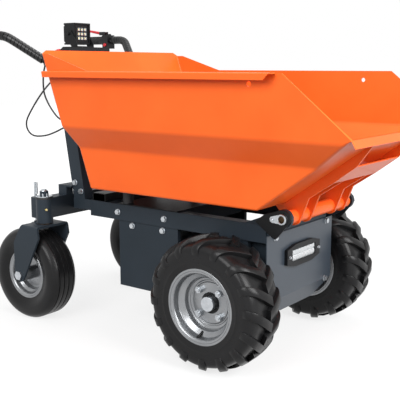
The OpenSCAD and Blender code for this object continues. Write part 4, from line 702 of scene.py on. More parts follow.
caster_tyre = rounded(caster_corners(1) + caster_corners(-1)[::-1])
caster_rim = rim_outline(CASTER_BEAD_R, CASTER_FLANGE_R, CASTER_RIM_HALF, CASTER_WELL_R, 16, 8)
HUB_R, HUB_BORE_R, HUB_HALF = 23, 10.1, 64
DISC_R = CASTER_WELL_R - 2
caster_disc = rounded([(HUB_R - 2, -3, 0), (HUB_R + 2, -3.5, 2), (DISC_R - 10, -3, 1),
                       (DISC_R, -5, 1), (DISC_R, 5, 1), (DISC_R - 10, 3, 1),
                       (HUB_R + 2, 3.5, 2), (HUB_R - 2, 3, 0)])
caster_hub = rounded([(HUB_BORE_R, -HUB_HALF, 0), (HUB_R, -HUB_HALF, 1.5), (HUB_R, HUB_HALF, 1.5),
                      (HUB_BORE_R, HUB_HALF, 0)])
for side in OUTBOARD:
    node = side + "_caster_tyre"
    shape = bmesh.new()
    turned(shape, caster_tyre, steps=TYRE_STEPS)
    piece(side + "_ribbed_tyre", finished_mesh(node, shape, centre_of(node)), node)
    shape = bmesh.new()
    for outline in (caster_rim, caster_disc, caster_hub):
        turned(shape, outline)
    rim_node = side + "_caster_rim"
    piece(side + "_caster_wheel_rim", finished_mesh(rim_node, shape, centre_of(node)), rim_node)
print("two caster wheels")

# %% [markdown]
# ## Tub
# The tub is folded and welded from 3 mm sheet. Modelled as it is made, it starts as flat panels
# without thickness; a Bevel turns the fold lines into bends, a Solidify gives the sheet its
# thickness inwards, and a Boolean drills the lashing holes.

# %% Tub panels
FLOOR_Z, LOW_KNEE_Z, KNEE_Z, RIM_Z, GUARD_Z = 490, 623, 695, 872, 938
FLOOR_HALF, TUB_HALF, SHEET = 301, 352, 3
FLOOR_REAR_X, FLOOR_FRONT_X, LIP_X, RIM_FRONT_X, WING_X = -168, 480, 788, 583, -116
REAR_LEAN, CHUTE_SLOPE = radians(19.8), radians(35.3)
GUARD_CUT, LIP_FOLD = (21, 11), (9, -21)


def rear_x(z):
    """Where the leaning rear panel stands at a height."""
    return FLOOR_REAR_X - (z - FLOOR_Z) * tan(REAR_LEAN)


def chute_x(z):
    """Where the rising chute stands at a height."""
    return FLOOR_FRONT_X + (z - FLOOR_Z) / tan(CHUTE_SLOPE)


lip_z = FLOOR_Z + (LIP_X - FLOOR_FRONT_X) * tan(CHUTE_SLOPE)
side_z = GUARD_Z - GUARD_CUT[1]
wing_top_x = WING_X + (rear_x(GUARD_Z) - WING_X) * (side_z - RIM_Z) / (GUARD_Z - RIM_Z)
CORNERS = {
    "floor_rear": (FLOOR_REAR_X, FLOOR_HALF, FLOOR_Z),
    "floor_front": (FLOOR_FRONT_X, FLOOR_HALF, FLOOR_Z),
    "low_knee_rear": (rear_x(LOW_KNEE_Z), FLOOR_HALF, LOW_KNEE_Z),
    "low_knee_front": (chute_x(LOW_KNEE_Z), FLOOR_HALF, LOW_KNEE_Z),
    "knee_rear": (rear_x(KNEE_Z), TUB_HALF, KNEE_Z),
    "knee_front": (chute_x(KNEE_Z), TUB_HALF, KNEE_Z),
    "lip": (LIP_X, TUB_HALF, lip_z),
    "lip_fold": (LIP_X + LIP_FOLD[0], TUB_HALF - SHEET, lip_z + LIP_FOLD[1]),
    "rim_front": (RIM_FRONT_X, TUB_HALF, RIM_Z),
    "wing_foot": (WING_X, TUB_HALF, RIM_Z),
    "wing_top": (wing_top_x, TUB_HALF, side_z),
    "guard_side": (rear_x(side_z), TUB_HALF, side_z),
    "guard_top": (rear_x(GUARD_Z), TUB_HALF - GUARD_CUT[0], GUARD_Z),
}
ACROSS = [("floor_rear", "floor_front"), ("lip", "lip_fold"),
          ("floor_rear", "low_knee_rear", "knee_rear", "guard_side", "guard_top"),
          ("floor_front", "low_knee_front", "knee_front", "lip")]
ALONG = [("floor_rear", "floor_front", "low_knee_front", "low_knee_rear"),
         ("low_knee_rear", "low_knee_front", "knee_front", "knee_rear"),
         ("knee_rear", "knee_front", "lip", "rim_front", "wing_foot", "wing_top", "guard_side")]
shape = bmesh.new()
corner = {(name, side): shape.verts.new((x * MM, side * half * MM, z * MM))
          for name, (x, half, z) in CORNERS.items() for side in (-1, 1)}
for names in ACROSS:
    shape.faces.new([corner[n, -1] for n in names] + [corner[n, 1] for n in names[::-1]])
for names in ALONG:
    for side in (-1, 1):
        shape.faces.new([corner[n, side] for n in names])
bmesh.ops.recalc_face_normals(shape, faces=shape.faces)
floor_down = min(shape.faces, key=lambda face: face.calc_center_median().z)
if floor_down.normal.z > 0:
    bmesh.ops.reverse_faces(shape, faces=shape.faces)
panels = as_mesh("tub_panels", shape)
print("tub of", len(panels.polygons), "panels")

# %% [markdown]
# ## Rim flanges of the tub
# Along each side the upper edge of the tub is turned outwards and down, which stiffens it and
# keeps concrete off the wheels. Each flange is two strips, drawn without thickness at first.

# %% Rim flanges
FLANGE_W, FLANGE_DROP, FLANGE_END, FLANGE_REAR_CUT = 33, 19, 17, 4
FLANGE_REAR_X = -293
flange_x = (FLANGE_REAR_X, RIM_FRONT_X - FLANGE_END)
shape = bmesh.new()
for side in (-1, 1):
    section = [(TUB_HALF - SHEET / 2, RIM_Z, 0, 0), (TUB_HALF + FLANGE_W, RIM_Z, 0, 0),
               (TUB_HALF + FLANGE_W, RIM_Z - FLANGE_DROP, FLANGE_REAR_CUT, FLANGE_DROP)]
    rows = [[shape.verts.new(Vector((x, side * y, z)) * MM)
             for x in (flange_x[0] + rear_cut, flange_x[1] - front_cut)]
            for y, z, rear_cut, front_cut in section]
    for one, other in zip(rows, rows[1:]):
        strip = [one[0], one[1], other[1], other[0]]
        shape.faces.new(strip if side == -1 else strip[::-1])
for face in shape.faces:
    face.normal_update()
if max(shape.faces, key=lambda face: face.calc_center_median().z).normal.z < 0:
    bmesh.ops.reverse_faces(shape, faces=shape.faces)
flanges = as_mesh("rim_flanges", shape)
print("flanges of", len(flanges.polygons), "strips")

# %% [markdown]
# ## Folding the sheet
# One function folds and thickens any set of panels. The tub's folds have a radius of about
# twice the sheet. A long drill through both sides cuts the two lashing holes at once.

# %% Folding the sheet
FOLD_R, FLANGE_FOLD_R, FOLD_SEGMENTS, FOLD_ANGLE = 7, 4, 4, radians(10)
HOOK_X, HOOK_Z, HOOK_R, DRILL_HALF = 484, 842, 7, 2 * TUB_HALF


def folded(name, mesh, bend):
    """A sheet of panels with bends of a radius in mm and the sheet's thickness inwards."""
    made = linked(name, mesh)
    bends = made.modifiers.new("bends", "BEVEL")
    bends.width = bend * MM
    bends.segments = FOLD_SEGMENTS
    bends.limit_method = "ANGLE"
    bends.angle_limit = FOLD_ANGLE
    bends.use_clamp_overlap = False
    thickness = made.modifiers.new("sheet", "SOLIDIFY")
    thickness.thickness = SHEET * MM
    thickness.offset = -1
    thickness.use_even_offset = True
    return made


shape = bmesh.new()
turned(shape, [(HOOK_R, -DRILL_HALF), (HOOK_R, DRILL_HALF), (0, DRILL_HALF), (0, -DRILL_HALF)],
       steps=32)
drill = linked("drill", finished_mesh("drill", shape, (HOOK_X * MM, 0, HOOK_Z * MM)))
tub_sheet = folded("tub_sheet", panels, FOLD_R)
holes = tub_sheet.modifiers.new("lashing_holes", "BOOLEAN")
holes.object = drill
holes.operation = "DIFFERENCE"
tub_mesh = settled(tub_sheet)
bpy.data.objects.remove(drill)
flange_mesh = settled(folded("flange_sheet", flanges, FLANGE_FOLD_R))
print("the folded sheet has", len(tub_mesh.polygons), "faces")

# %% [markdown]
# ## Striker
# Under the tub's rear edge two cheeks hold a round bar, which snaps into the spring catch on
# the frame. It is small and hidden, so a turned bar between two plates is enough. A plate is an
# outline in the side view that is given a thickness.

# %% Striker under the tub
STRIKER_HALF, STRIKER_R, CHEEK_T, CHEEK_RISE = 40, 7, 8, 40
CATCH_T, CATCH_GAP = 3, 0.3


def plate(shape, outline, near, far):
    """Adds a flat plate to a bmesh: an outline in x and z, from one y to another, in mm."""
    caps = [[shape.verts.new(Vector((x, y, z)) * MM) for x, z in outline] for y in (near, far)]
    bridge(shape, *caps)
    for cap in caps:
        shape.faces.new(cap)


rest_low, rest_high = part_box("rest_beam")
catch_x = (rest_low.x + rest_high.x) / 2 / MM
striker_z = rest_high.z / MM + CATCH_T + CATCH_GAP + STRIKER_R
cheek = [(catch_x - 2 * STRIKER_R, striker_z - STRIKER_R),
         (catch_x + 2 * STRIKER_R, striker_z - STRIKER_R), (FLOOR_REAR_X, FLOOR_Z),
         (rear_x(FLOOR_Z + CHEEK_RISE), FLOOR_Z + CHEEK_RISE),
         (catch_x - 2 * STRIKER_R, striker_z + 2 * STRIKER_R)]
shape = bmesh.new()
for out in (-1, 1):
    plate(shape, cheek, out * (STRIKER_HALF - CHEEK_T), out * STRIKER_HALF)
bar = bmesh.new()
turned(bar, [(0, -STRIKER_HALF), (STRIKER_R, -STRIKER_HALF), (STRIKER_R, STRIKER_HALF),
             (0, STRIKER_HALF)], steps=32)
shape.from_mesh(finished_mesh("striker_bar", bar, (catch_x * MM, 0, striker_z * MM)))
striker_mesh = finished_mesh("striker", shape)
print("striker bar at", round(catch_x), "and", round(striker_z, 1))

# %% [markdown]
# ## The tub in one piece
# Sheet, flanges and striker are welded together, so they are joined in one mesh. A Weighted
# Normal modifier lets the large flat panels decide the shading, and the bends stay round.

# %% Tub piece
shape = bmesh.new()
for part in (tub_mesh, flange_mesh, striker_mesh):
    shape.from_mesh(part)
tub = piece("folded_tub", as_mesh("folded_tub", shape), "tub")
even = tub.modifiers.new("even_shading", "WEIGHTED_NORMAL")
even.keep_sharp = True
print("the tub has", len(tub.data.polygons), "faces")

# %% [markdown]
# ## Hubs and valves
# The end of each drive hub stands in the disc's round hole, and a dark ring round it fills the rest
# of the hole: painted shade, which stands for the dark gap behind the disc. A rubber valve stem
# comes through the rim beside the disc. Both are turned; the stem is then leaned towards the axle,
# as a snap-in valve stands.

# %% Shade rings and valve stems
SHADE_RING_R, HUB_END_R, SHADE_RING_OUT, SHADE_RING_T = 31.4, 22.4, 15, 8
SHADE_RING = rounded([(HUB_END_R, SHADE_RING_OUT - SHADE_RING_T, 0), (SHADE_RING_R, SHADE_RING_OUT - SHADE_RING_T, 0),
                (SHADE_RING_R, SHADE_RING_OUT, 1.5), (HUB_END_R, SHADE_RING_OUT - 2, 1)])
STEM = [(0, 0), (5.2, 0), (5.2, 4), (4, 6), (4, 20), (3.6, 21), (3.6, 29), (0, 29)]
STEM_R, STEM_OUT, STEM_LEAN, STEM_TURN = 87, 38, 24, 188
for side, out in OUTBOARD.items():
    shape = bmesh.new()
    # The dark ring is painted shade in the disc's hole; the stem beside it is a real rubber valve.
    turned(shape, [(r, out * a) for r, a in SHADE_RING], steps=64)
    stem = bmesh.new()
    turned(stem, [(r, out * a) for r, a in STEM], steps=24)
    lean = Matrix.Rotation(radians(out * STEM_LEAN), 3, "X")
    bmesh.ops.rotate(stem, verts=stem.verts, matrix=lean)
    bmesh.ops.translate(stem, verts=stem.verts, vec=Vector((0, out * STEM_OUT, STEM_R)) * MM)
    bmesh.ops.rotate(stem, verts=stem.verts, matrix=Matrix.Rotation(radians(STEM_TURN), 3, "Y"))
    shape.from_mesh(finished_mesh("stem", stem))
    name = side + "_hub_rubber"
    piece(name, finished_mesh(name, shape, centre_of(side + "_drive_tyre")),
          body=side + "_drive_wheel", slot="buffer_rubber", look="tyre_rubber")
print("two seals and two valve stems")

# %% [markdown]
# ## Swivel heads
# A domed nut on a washer closes the top of each swivel stem, and a rubber ring keeps dirt out of
# the bush below it. The nut turns with the fork and the ring stays on the housing, so they are
# two pieces. All are turned about the upright axis, the nut's foot in only six steps.

# %% Domed nuts and dust rings
PINHOLE = 0.3  # a turned outline stops just short of its axis
NUT_FOOT = [(PINHOLE, 2), (16, 2), (16, 12), (PINHOLE, 12)]
NUT_DOME = [(PINHOLE, 12), (14, 12), (14, 16), (12.8, 21), (9, 25), (4.5, 26.6), (PINHOLE, 27)]
STEM_WASHER = [(12.5, 0), (28.6, 0), (28.6, 2.5), (12.5, 2.5)]
DUST_RING = [(28.8, -3), (29.6, -4), (29.9, 1.5), (29.6, 3), (28.8, 3)]
NUT_SINK = 20
housing_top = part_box("rear_beam")[1].z
for side in OUTBOARD:
    swivel = next(joint for joint in frame["joints"] if joint["name"] == side + "_caster_swivel")
    axis = Vector(swivel["pos_m"])
    stem_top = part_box(side + "_fork")[1].z
    shape = bmesh.new()
    for outline, steps in ((NUT_FOOT, 6), (NUT_DOME, 32), (STEM_WASHER, 40)):
        turned(shape, outline, "Z", steps)
    nut = finished_mesh(side + "_domed_nut", shape, (axis.x, axis.y, stem_top - NUT_SINK * MM))
    piece(side + "_domed_nut", nut, body=side + "_caster_fork", slot="zinc_steel")
    shape = bmesh.new()
    turned(shape, DUST_RING, "Z", 48)
    ring = finished_mesh(side + "_dust_ring", shape, (axis.x, axis.y, housing_top))
    piece(side + "_dust_ring", ring, body="chassis", slot="buffer_rubber")
print("two domed nuts and two dust rings")

# %% [markdown]
# ## Tipping pivot
# The tub tips on one long pin. Each end of the pin shows as a bright ring round a dark bronze core,
# which is painted shade for the hollow inside the pin's end, and a tab with a bolt keeps the pin
# from turning. A black plate outside each ear carries it.
# The tabs and ear plates are flat, and the rest is turned, the bolts in only six steps.

# %% Pivot pin and ear plates
PIN_R, PIN_FACE, PLATE_FACE = 12, 200, 206
PIN_RING = [(10.4, 0), (16, 0), (16, 9), (15, 10), (11.4, 10), (10.4, 9)]
PIN_CORE = [(PINHOLE, 0), (10.4, 0), (10.4, 7), (9, 8), (PINHOLE, 8)]
KEEPER = [(0, 15.6), (-38, 4), (-42, -2), (-40, -10), (-34, -13), (0, -15.6)]
KEEPER_T, KEEPER_BOLT_X, KEEPER_BOLT_Z = 4, -33, -4
KEEPER_BOLT = [(PINHOLE, 0), (5, 0), (5, 4), (4, 5), (PINHOLE, 5)]
EAR_PLATE = [(416, 437), (446, 462), (497, 479), (510, 482), (523, 479), (533, 469), (537, 455),
             (533, 446), (490, 395), (483, 392), (477, 394)]
pivot = centre_of("pivot_pin")
bright, shaded_cores, shaded_ears = bmesh.new(), bmesh.new(), bmesh.new()
turned(bright, [(PINHOLE, -PIN_FACE), (PIN_R, -PIN_FACE), (PIN_R, PIN_FACE),
                (PINHOLE, PIN_FACE)], "Y", 32)
for out in (-1, 1):
    face = out * PLATE_FACE
    turned(bright, [(r, face + out * y) for r, y in PIN_RING], "Y", 40)
    # The cores' dark bronze is painted shade for the hollow pin ends.
    turned(shaded_cores, [(r, face + out * y) for r, y in PIN_CORE], "Y", 40)
    plate(bright, KEEPER, face, face + out * KEEPER_T)
    bolt = bmesh.new()
    turned(bolt, [(r, face + out * (KEEPER_T + y)) for r, y in KEEPER_BOLT], "Y", 6)
    bright.from_mesh(finished_mesh("keeper_bolt", bolt,
                                   (KEEPER_BOLT_X * MM, 0, KEEPER_BOLT_Z * MM)))
    # The ear plates are real plates; their black is partly painted shade for the tub's shadow on
    # the ears.
    plate(shaded_ears, EAR_PLATE, out * PIN_FACE, face)
piece("pivot_pin_ends", finished_mesh("pivot_pin_ends", bright, pivot), "pivot_pin")
piece("pivot_pin_cores", finished_mesh("pivot_pin_cores", shaded_cores, pivot), body="chassis",
      slot="bush_bronze")
eased(piece("ear_plates", finished_mesh("ear_plates", shaded_ears), body="chassis", slot="black_paint"), 1)
print("pivot pin with two keepers and two ear plates")

# %% [markdown]
# ## Chute ribs
# Four ribs under the chute hold the eyes of the pivot tube. The outer two run on to the lip and a
# wide strip closes the space between them, the inner two end at that strip. A rib is one outline
# in the side view: along the chute, back below it to a knee and round the eye.

# %% Ribs and closing strip
RIB_T, STRIP_T, INNER_Y, RIB_REAR_X = 8, 4, 75, 440
RIB_KNEE, RIB_TURN, RIB_DEEP, RIB_FRONT = (560, 28), (617, 30), (690, 28), (750, 4)
EYE_WALL, EYE_TURNS = 6, range(-37, -157, -15)


def under_chute(x, depth):
    """A point of the side view, depth mm below the chute's sheet where it stands over x."""
    return (x + depth * sin(CHUTE_SLOPE),
            FLOOR_Z + (x - FLOOR_FRONT_X) * tan(CHUTE_SLOPE) - depth * cos(CHUTE_SLOPE))


tube_low, tube_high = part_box("pivot_tube")
eye_r = (tube_high.z - tube_low.z) / MM / 2 + EYE_WALL
eye = [(pivot.x / MM + eye_r * cos(radians(a)), pivot.z / MM + eye_r * sin(radians(a)))
       for a in EYE_TURNS]
knee = (RIB_KNEE[0], FLOOR_Z + (RIB_KNEE[0] - FLOOR_FRONT_X) * tan(CHUTE_SLOPE)
        - RIB_KNEE[1] / cos(CHUTE_SLOPE))
root = [under_chute(*RIB_TURN), knee] + eye + [(RIB_REAR_X, FLOOR_Z), (FLOOR_FRONT_X, FLOOR_Z)]
outer_rib = [under_chute(RIB_FRONT[0], 0), under_chute(*RIB_FRONT), under_chute(*RIB_DEEP)] + root
inner_rib = [under_chute(RIB_TURN[0], 0)] + root
strip = [under_chute(*RIB_TURN), under_chute(*RIB_DEEP),
         under_chute(RIB_DEEP[0], RIB_DEEP[1] - STRIP_T),
         under_chute(RIB_TURN[0], RIB_TURN[1] - STRIP_T)]
outer_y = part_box("chute_ribs")[1].y / MM
shape = bmesh.new()
for out in (-1, 1):
    plate(shape, outer_rib, out * (outer_y - RIB_T), out * outer_y)
    plate(shape, inner_rib, out * INNER_Y, out * (INNER_Y + RIB_T))
plate(shape, strip, RIB_T - outer_y, outer_y - RIB_T)
eased(piece("rib_plates", finished_mesh("rib_plates", shape), "chute_ribs"), 1)
print("four ribs and a strip")

# %% [markdown]
# ## Grips
# A moulded grip has rings round it for the fingers and a thicker collar at each end. The rings
# repeat along one outline, which is turned about the bar.

# %% Ribbed grips
GRIP_R, GRIP_BORE_R, RIB_PITCH, RIB_DEPTH, GRIP_COLLAR = 16.5, 11.1, 6, 1.6, 9
for node in ("left_grip", "throttle_grip"):
    low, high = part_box(node)
    half = (high.x - low.x) / 2 / MM
    corners = [(GRIP_BORE_R, -half, 0), (GRIP_R, -half, 2)]
    ribs = int(2 * (half - GRIP_COLLAR) / RIB_PITCH)
    for rib in range(ribs):
        start = -half + GRIP_COLLAR + rib * RIB_PITCH
        corners += [(GRIP_R, start, 0.4), (GRIP_R - RIB_DEPTH, start + 0.6, 0.4),
                    (GRIP_R - RIB_DEPTH, start + 2, 0.4), (GRIP_R, start + 2.6, 0.4)]
    corners += [(GRIP_R, half, 2), (GRIP_BORE_R, half, 0)]
    shape = bmesh.new()
    turned(shape, rounded(corners, 2), "X", 48)
    piece(node + "_ribbed", finished_mesh(node, shape, centre_of(node)), node)
print("grips with", ribs, "ribs")

# %% [markdown]
# ## The path of a bar
# Spiral wraps hold the cables to the bars. A wrap follows the bar that it covers: level at the
# grip, round the bend and down the slope. The bar's middle line is a poly curve in a plane that
# leans outwards with the bar.

# %% Path of a bar
GRIP_Y, GRIP_Z, BAR_SPLAY, BAR_SLOPE = 305, 993, radians(42), radians(46)
BEND_X, BEND_R, WRAP_X, WRAP_SLOPE_L, BEND_STEPS = -592.7, 70, -632, 125.8, 12


def bar_path(name, side):
    """The middle line of a bar under its wrap, as a poly curve."""
    line = [(WRAP_X, 0)]
    for step in range(BEND_STEPS + 1):
        turn = BAR_SLOPE * step / BEND_STEPS
        line.append((BEND_X + BEND_R * sin(turn), BEND_R * (1 - cos(turn))))
    x, drop = line[-1]
    line.append((x + WRAP_SLOPE_L * cos(BAR_SLOPE), drop + WRAP_SLOPE_L * sin(BAR_SLOPE)))
    return poly_curve(name, [
        Vector((x, side * (GRIP_Y - drop * sin(BAR_SPLAY)), GRIP_Z - drop * cos(BAR_SPLAY))) * MM
        for x, drop in line])


print("the bars bend with a radius of", BEND_R, "mm")

# %% [markdown]
# ## Spiral wraps
# A wrap is cut from a plastic tube: a flat band that winds round a path at an even pitch, so a
# tree makes it. A grid of five columns is the band's closed section, whose columns 1 and 2 lie
# outside and 2 and 3 at its far edge. Each row is sampled on the bar's middle line and turned a
# little further than the last.

# %% Wrap tree
STEPS_A_TURN, COLUMNS = 20, 5
OUTSIDE_PAIR, FAR_PAIR, PAIR_REACH = 1.5, 2.5, 0.6
wrap, given, result = new_tree(
    "spiral_wrap", ("Path", "NodeSocketObject"), ("Turns", "NodeSocketInt"),
    ("Radius", "NodeSocketFloat"), ("Thickness", "NodeSocketFloat"),
    ("Band share", "NodeSocketFloat"), ("Plastic", "NodeSocketMaterial"))
path = add(wrap, "GeometryNodeObjectInfo", {"Object": given.outputs["Path"]})
count = add(wrap, "ShaderNodeMath", {0: given.outputs["Turns"], 1: STEPS_A_TURN},
            operation="MULTIPLY")
band = add(wrap, "GeometryNodeMeshGrid", {"Vertices X": count.outputs[0], "Vertices Y": COLUMNS})
index = add(wrap, "GeometryNodeInputIndex")
column = add(wrap, "ShaderNodeMath", {0: index.outputs[0], 1: COLUMNS}, operation="MODULO")
row = add(wrap, "ShaderNodeMath", {0: index.outputs[0], 1: COLUMNS}, operation="DIVIDE")
row = add(wrap, "ShaderNodeMath", {0: row.outputs[0]}, operation="FLOOR")
share = add(wrap, "ShaderNodeMath", {0: row.outputs[0], 1: count.outputs[0]}, operation="DIVIDE")
outside, far_edge = [
    add(wrap, "ShaderNodeMath", {0: column.outputs[0], 1: pair, 2: PAIR_REACH},
        operation="COMPARE") for pair in (OUTSIDE_PAIR, FAR_PAIR)]
radius = add(wrap, "ShaderNodeMath", {0: outside.outputs[0], 1: given.outputs["Thickness"],
                                      2: given.outputs["Radius"]}, operation="MULTIPLY_ADD")
along = add(wrap, "ShaderNodeMath", {0: far_edge.outputs[0], 1: given.outputs["Band share"],
                                     2: share.outputs[0]}, operation="MULTIPLY_ADD")
spot = add(wrap, "GeometryNodeSampleCurve", {"Curves": path.outputs["Geometry"],
                                             "Factor": along.outputs[0]}, mode="FACTOR")
turns = add(wrap, "ShaderNodeMath", {0: row.outputs[0], 1: 2 * pi / STEPS_A_TURN},
            operation="MULTIPLY")
across = add(wrap, "ShaderNodeVectorMath", {0: spot.outputs["Tangent"],
                                            1: spot.outputs["Normal"]}, operation="CROSS_PRODUCT")
place = spot.outputs["Position"]
for wave, direction in (("COSINE", spot.outputs["Normal"]), ("SINE", across.outputs[0])):
    swing = add(wrap, "ShaderNodeMath", {0: turns.outputs[0]}, operation=wave)
    reach = add(wrap, "ShaderNodeMath", {0: swing.outputs[0], 1: radius.outputs[0]},
                operation="MULTIPLY")
    move = add(wrap, "ShaderNodeVectorMath", {0: direction, "Scale": reach.outputs[0]},
               operation="SCALE")
    moved = add(wrap, "ShaderNodeVectorMath", {0: place, 1: move.outputs[0]}, operation="ADD")
    place = moved.outputs[0]
wound = add(wrap, "GeometryNodeSetPosition", {"Geometry": band.outputs["Mesh"],
                                              "Position": place})
clad = add(wrap, "GeometryNodeSetMaterial", {"Geometry": wound.outputs[0],
                                             "Material": given.outputs["Plastic"]})
wrap.links.new(clad.outputs[0], result.inputs[0])
print("the wrap's tree has", len(wrap.nodes), "nodes")

# %% [markdown]
# ## Wraps on both bars
# The tree runs once for each bar. The band's first and last columns lie on each other, so the
# seam is merged, and the two open ends are closed with a face.

# %% Wraps on both bars
WRAP_TURNS, WRAP_R, WRAP_T, WRAP_BAND, WRAP_L = 16, 11.2, 4.6, 11.8, 221
shape = bmesh.new()
for side, out in OUTBOARD.items():
    path = bar_path(side + "_bar_line", out)
    shape.from_mesh(grown(side + "_wrap", wrap, Path=path, Turns=WRAP_TURNS, Radius=WRAP_R * MM,
                          Thickness=WRAP_T * MM, Band_share=WRAP_BAND / WRAP_L,
                          Plastic=finishes["wrap_plastic"]))
    bpy.data.objects.remove(path)
bmesh.ops.remove_doubles(shape, verts=shape.verts, dist=SEAM_M)
bmesh.ops.holes_fill(shape, edges=shape.edges, sides=4)
piece("wound_wraps", finished_mesh("wound_wraps", shape), "spiral_wraps")
print("wraps of", WRAP_TURNS, "turns")

# %% [markdown]
# ## Lights
# Behind the work light's window stand nine small reflector cups with a chip in each, and the
# front light has a clear lens moulded in two rows of square facets. A cell is a square frustum
# through a few levels, and one tree sets cells on a grid of columns and rows.

# %% Cell tree
finishes["reflector"] = finish("vacuum_metallised_reflector", "#dfe2e5", "#d2d5d9", 20, 3, 0.005,
                               (0.12, 0.2), Metallic=1.0)
finishes["chip"] = finish("phosphor_coated_chip", "#f4e7a4", "#efe09a", 6, 1, 0.02, (0.4, 0.5))
cells, given, result = new_tree(
    "cell_grid", ("Cell", "NodeSocketObject"), ("Columns", "NodeSocketInt"),
    ("Rows", "NodeSocketInt"), ("Pitch", "NodeSocketFloat"), ("Look", "NodeSocketMaterial"))
cell_shape = add(cells, "GeometryNodeObjectInfo", {"Object": given.outputs["Cell"]})
spans = []
for label in ("Columns", "Rows"):
    gaps = add(cells, "ShaderNodeMath", {0: given.outputs[label], 1: 1.0}, operation="SUBTRACT")
    spans.append(add(cells, "ShaderNodeMath", {0: gaps.outputs[0], 1: given.outputs["Pitch"]},
                     operation="MULTIPLY"))
lattice = add(cells, "GeometryNodeMeshGrid",
              {"Size X": spans[0].outputs[0], "Size Y": spans[1].outputs[0],
               "Vertices X": given.outputs["Columns"], "Vertices Y": given.outputs["Rows"]})
placed = add(cells, "GeometryNodeInstanceOnPoints",
             {"Points": lattice.outputs["Mesh"], "Instance": cell_shape.outputs["Geometry"]})
solid = add(cells, "GeometryNodeRealizeInstances", {0: placed.outputs[0]})
clad = add(cells, "GeometryNodeSetMaterial", {"Geometry": solid.outputs[0],
                                              "Material": given.outputs["Look"]})
cells.links.new(clad.outputs[0], result.inputs[0])
print("the cells' tree has", len(cells.nodes), "nodes")

# %% [markdown]
# ## Cells in the lights
# The cells are drawn lying down and then turned to face forward by a matrix that swaps the
# axes. The same function makes the black back, the cups, the chips and the clear facets.

# %% Cells
FORWARD = Matrix(((0, 0, 1, 0), (1, 0, 0, 0), (0, 1, 0, 0), (0, 0, 0, 1)))
SQUARE = ((-1, -1), (1, -1), (1, 1), (-1, 1))
CUP_PITCH, FACET_PITCH = 16, 17.7
CUP = [(5.4, -2), (5.4, -0.6), (4.9, -0.4), (3, -1.9)]
CHIP = [(2.2, -1.9), (2.2, -1.4), (1.8, -1.2)]
FACET = [(FACET_PITCH / 2, -7), (FACET_PITCH / 2, -1), (0.3, 5)]


def cell_rows(name, levels, columns, rows, pitch, look, place):
    """Rows of square cells that face forward, through levels of half side and height in mm."""
    shape = bmesh.new()
    rings = [[shape.verts.new(Vector((x * half, y * half, height)) * MM) for x, y in SQUARE]
             for half, height in levels]
    for low, high in zip(rings, rings[1:]):
        bridge(shape, low, high)
    shape.faces.new(rings[-1])
    cell = linked(name, as_mesh(name, shape))
    made = grown(name, cells, Cell=cell, Columns=columns, Rows=rows, Pitch=pitch * MM,
                 Look=finishes[look])
    bpy.data.objects.remove(cell)
    made.transform(Matrix.Translation(place) @ FORWARD)
    return made


def front_middle(low, high):
    """The middle of a box's front face."""
    return Vector((high.x, (low.y + high.y) / 2, (low.z + high.z) / 2))


low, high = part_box("work_light_lens")
window = front_middle(low, high)
half = (high.y - low.y) / 2 / MM
back = cell_rows("back", [(half, -8), (half, -3), (half - 1, -2)], 1, 1, half, "light_casting",
                 window)
piece("led_back", back, "work_light_lens", look="light_casting")
cups = cell_rows("cups", CUP, 3, 3, CUP_PITCH, "reflector", window)
piece("led_cups", cups, body="light_head", slot="light_lens", look="reflector")
chips = cell_rows("chips", CHIP, 3, 3, CUP_PITCH, "chip", window)
piece("led_chips", chips, body="light_head", slot="light_lens", look="chip")
low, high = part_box("front_light_lens")
window = front_middle(low, high)
facets = cell_rows("facets", FACET, 8, 2, FACET_PITCH, "light_lens", window)
piece("facet_lens", facets, "front_light_lens")
print("cups, chips and facets in place")

# %% [markdown]
# ## Cheeks of the work light
# The light's body is an aluminium casting with cooling fins behind. A cheek with cut corners
# closes the fins on each side and carries the pivot, as a thick plate.

# %% Cheeks of the work light
CHEEK_CUT, CHEEK_OUT, CHEEK_SEAT, LIGHT_HALF = 13, 39.6, 3, 39
low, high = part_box("work_light")
depth = (high.x - low.x) / 2 / MM
profile = [(-depth, LIGHT_HALF - CHEEK_CUT), (CHEEK_CUT - depth, LIGHT_HALF), (depth, LIGHT_HALF),
           (depth, -LIGHT_HALF), (CHEEK_CUT - depth, -LIGHT_HALF),
           (-depth, CHEEK_CUT - LIGHT_HALF)]
shape = bmesh.new()
for out in OUTBOARD.values():
    plate(shape, profile, out * (LIGHT_HALF - CHEEK_SEAT), out * CHEEK_OUT)
piece("light_cheeks", finished_mesh("light_cheeks", shape, centre_of("work_light")),
      body="light_head", slot="light_casting")
print("two cheeks on the work light")

# %% [markdown]
# ## Screws of the front light
# Two pan head screws hold the frame of the front light. Each is turned from a small outline.

# %% Light screws
SCREW, SCREW_IN = [(0, 0), (4.2, 0), (4.2, 1.2), (3, 2.2), (0, 2.6)], 14
low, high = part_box("front_light_frame")
shape = bmesh.new()
for out in (-1, 1):
    screw = bmesh.new()
    turned(screw, SCREW, "X", 24)
    shape.from_mesh(finished_mesh("screw", screw, (high.x, out * (high.y - SCREW_IN * MM),
                                                   (low.z + high.z) / 2)))
piece("front_light_screws", finished_mesh("front_light_screws", shape), body="chassis",
      slot="zinc_steel")
print("front light screws")

# %% [markdown]
# ## Studio
# In a white studio the world looks white to the camera, in reflections and through a lens, but
# lights the machine more gently. A Light Path node tells these rays from the others.

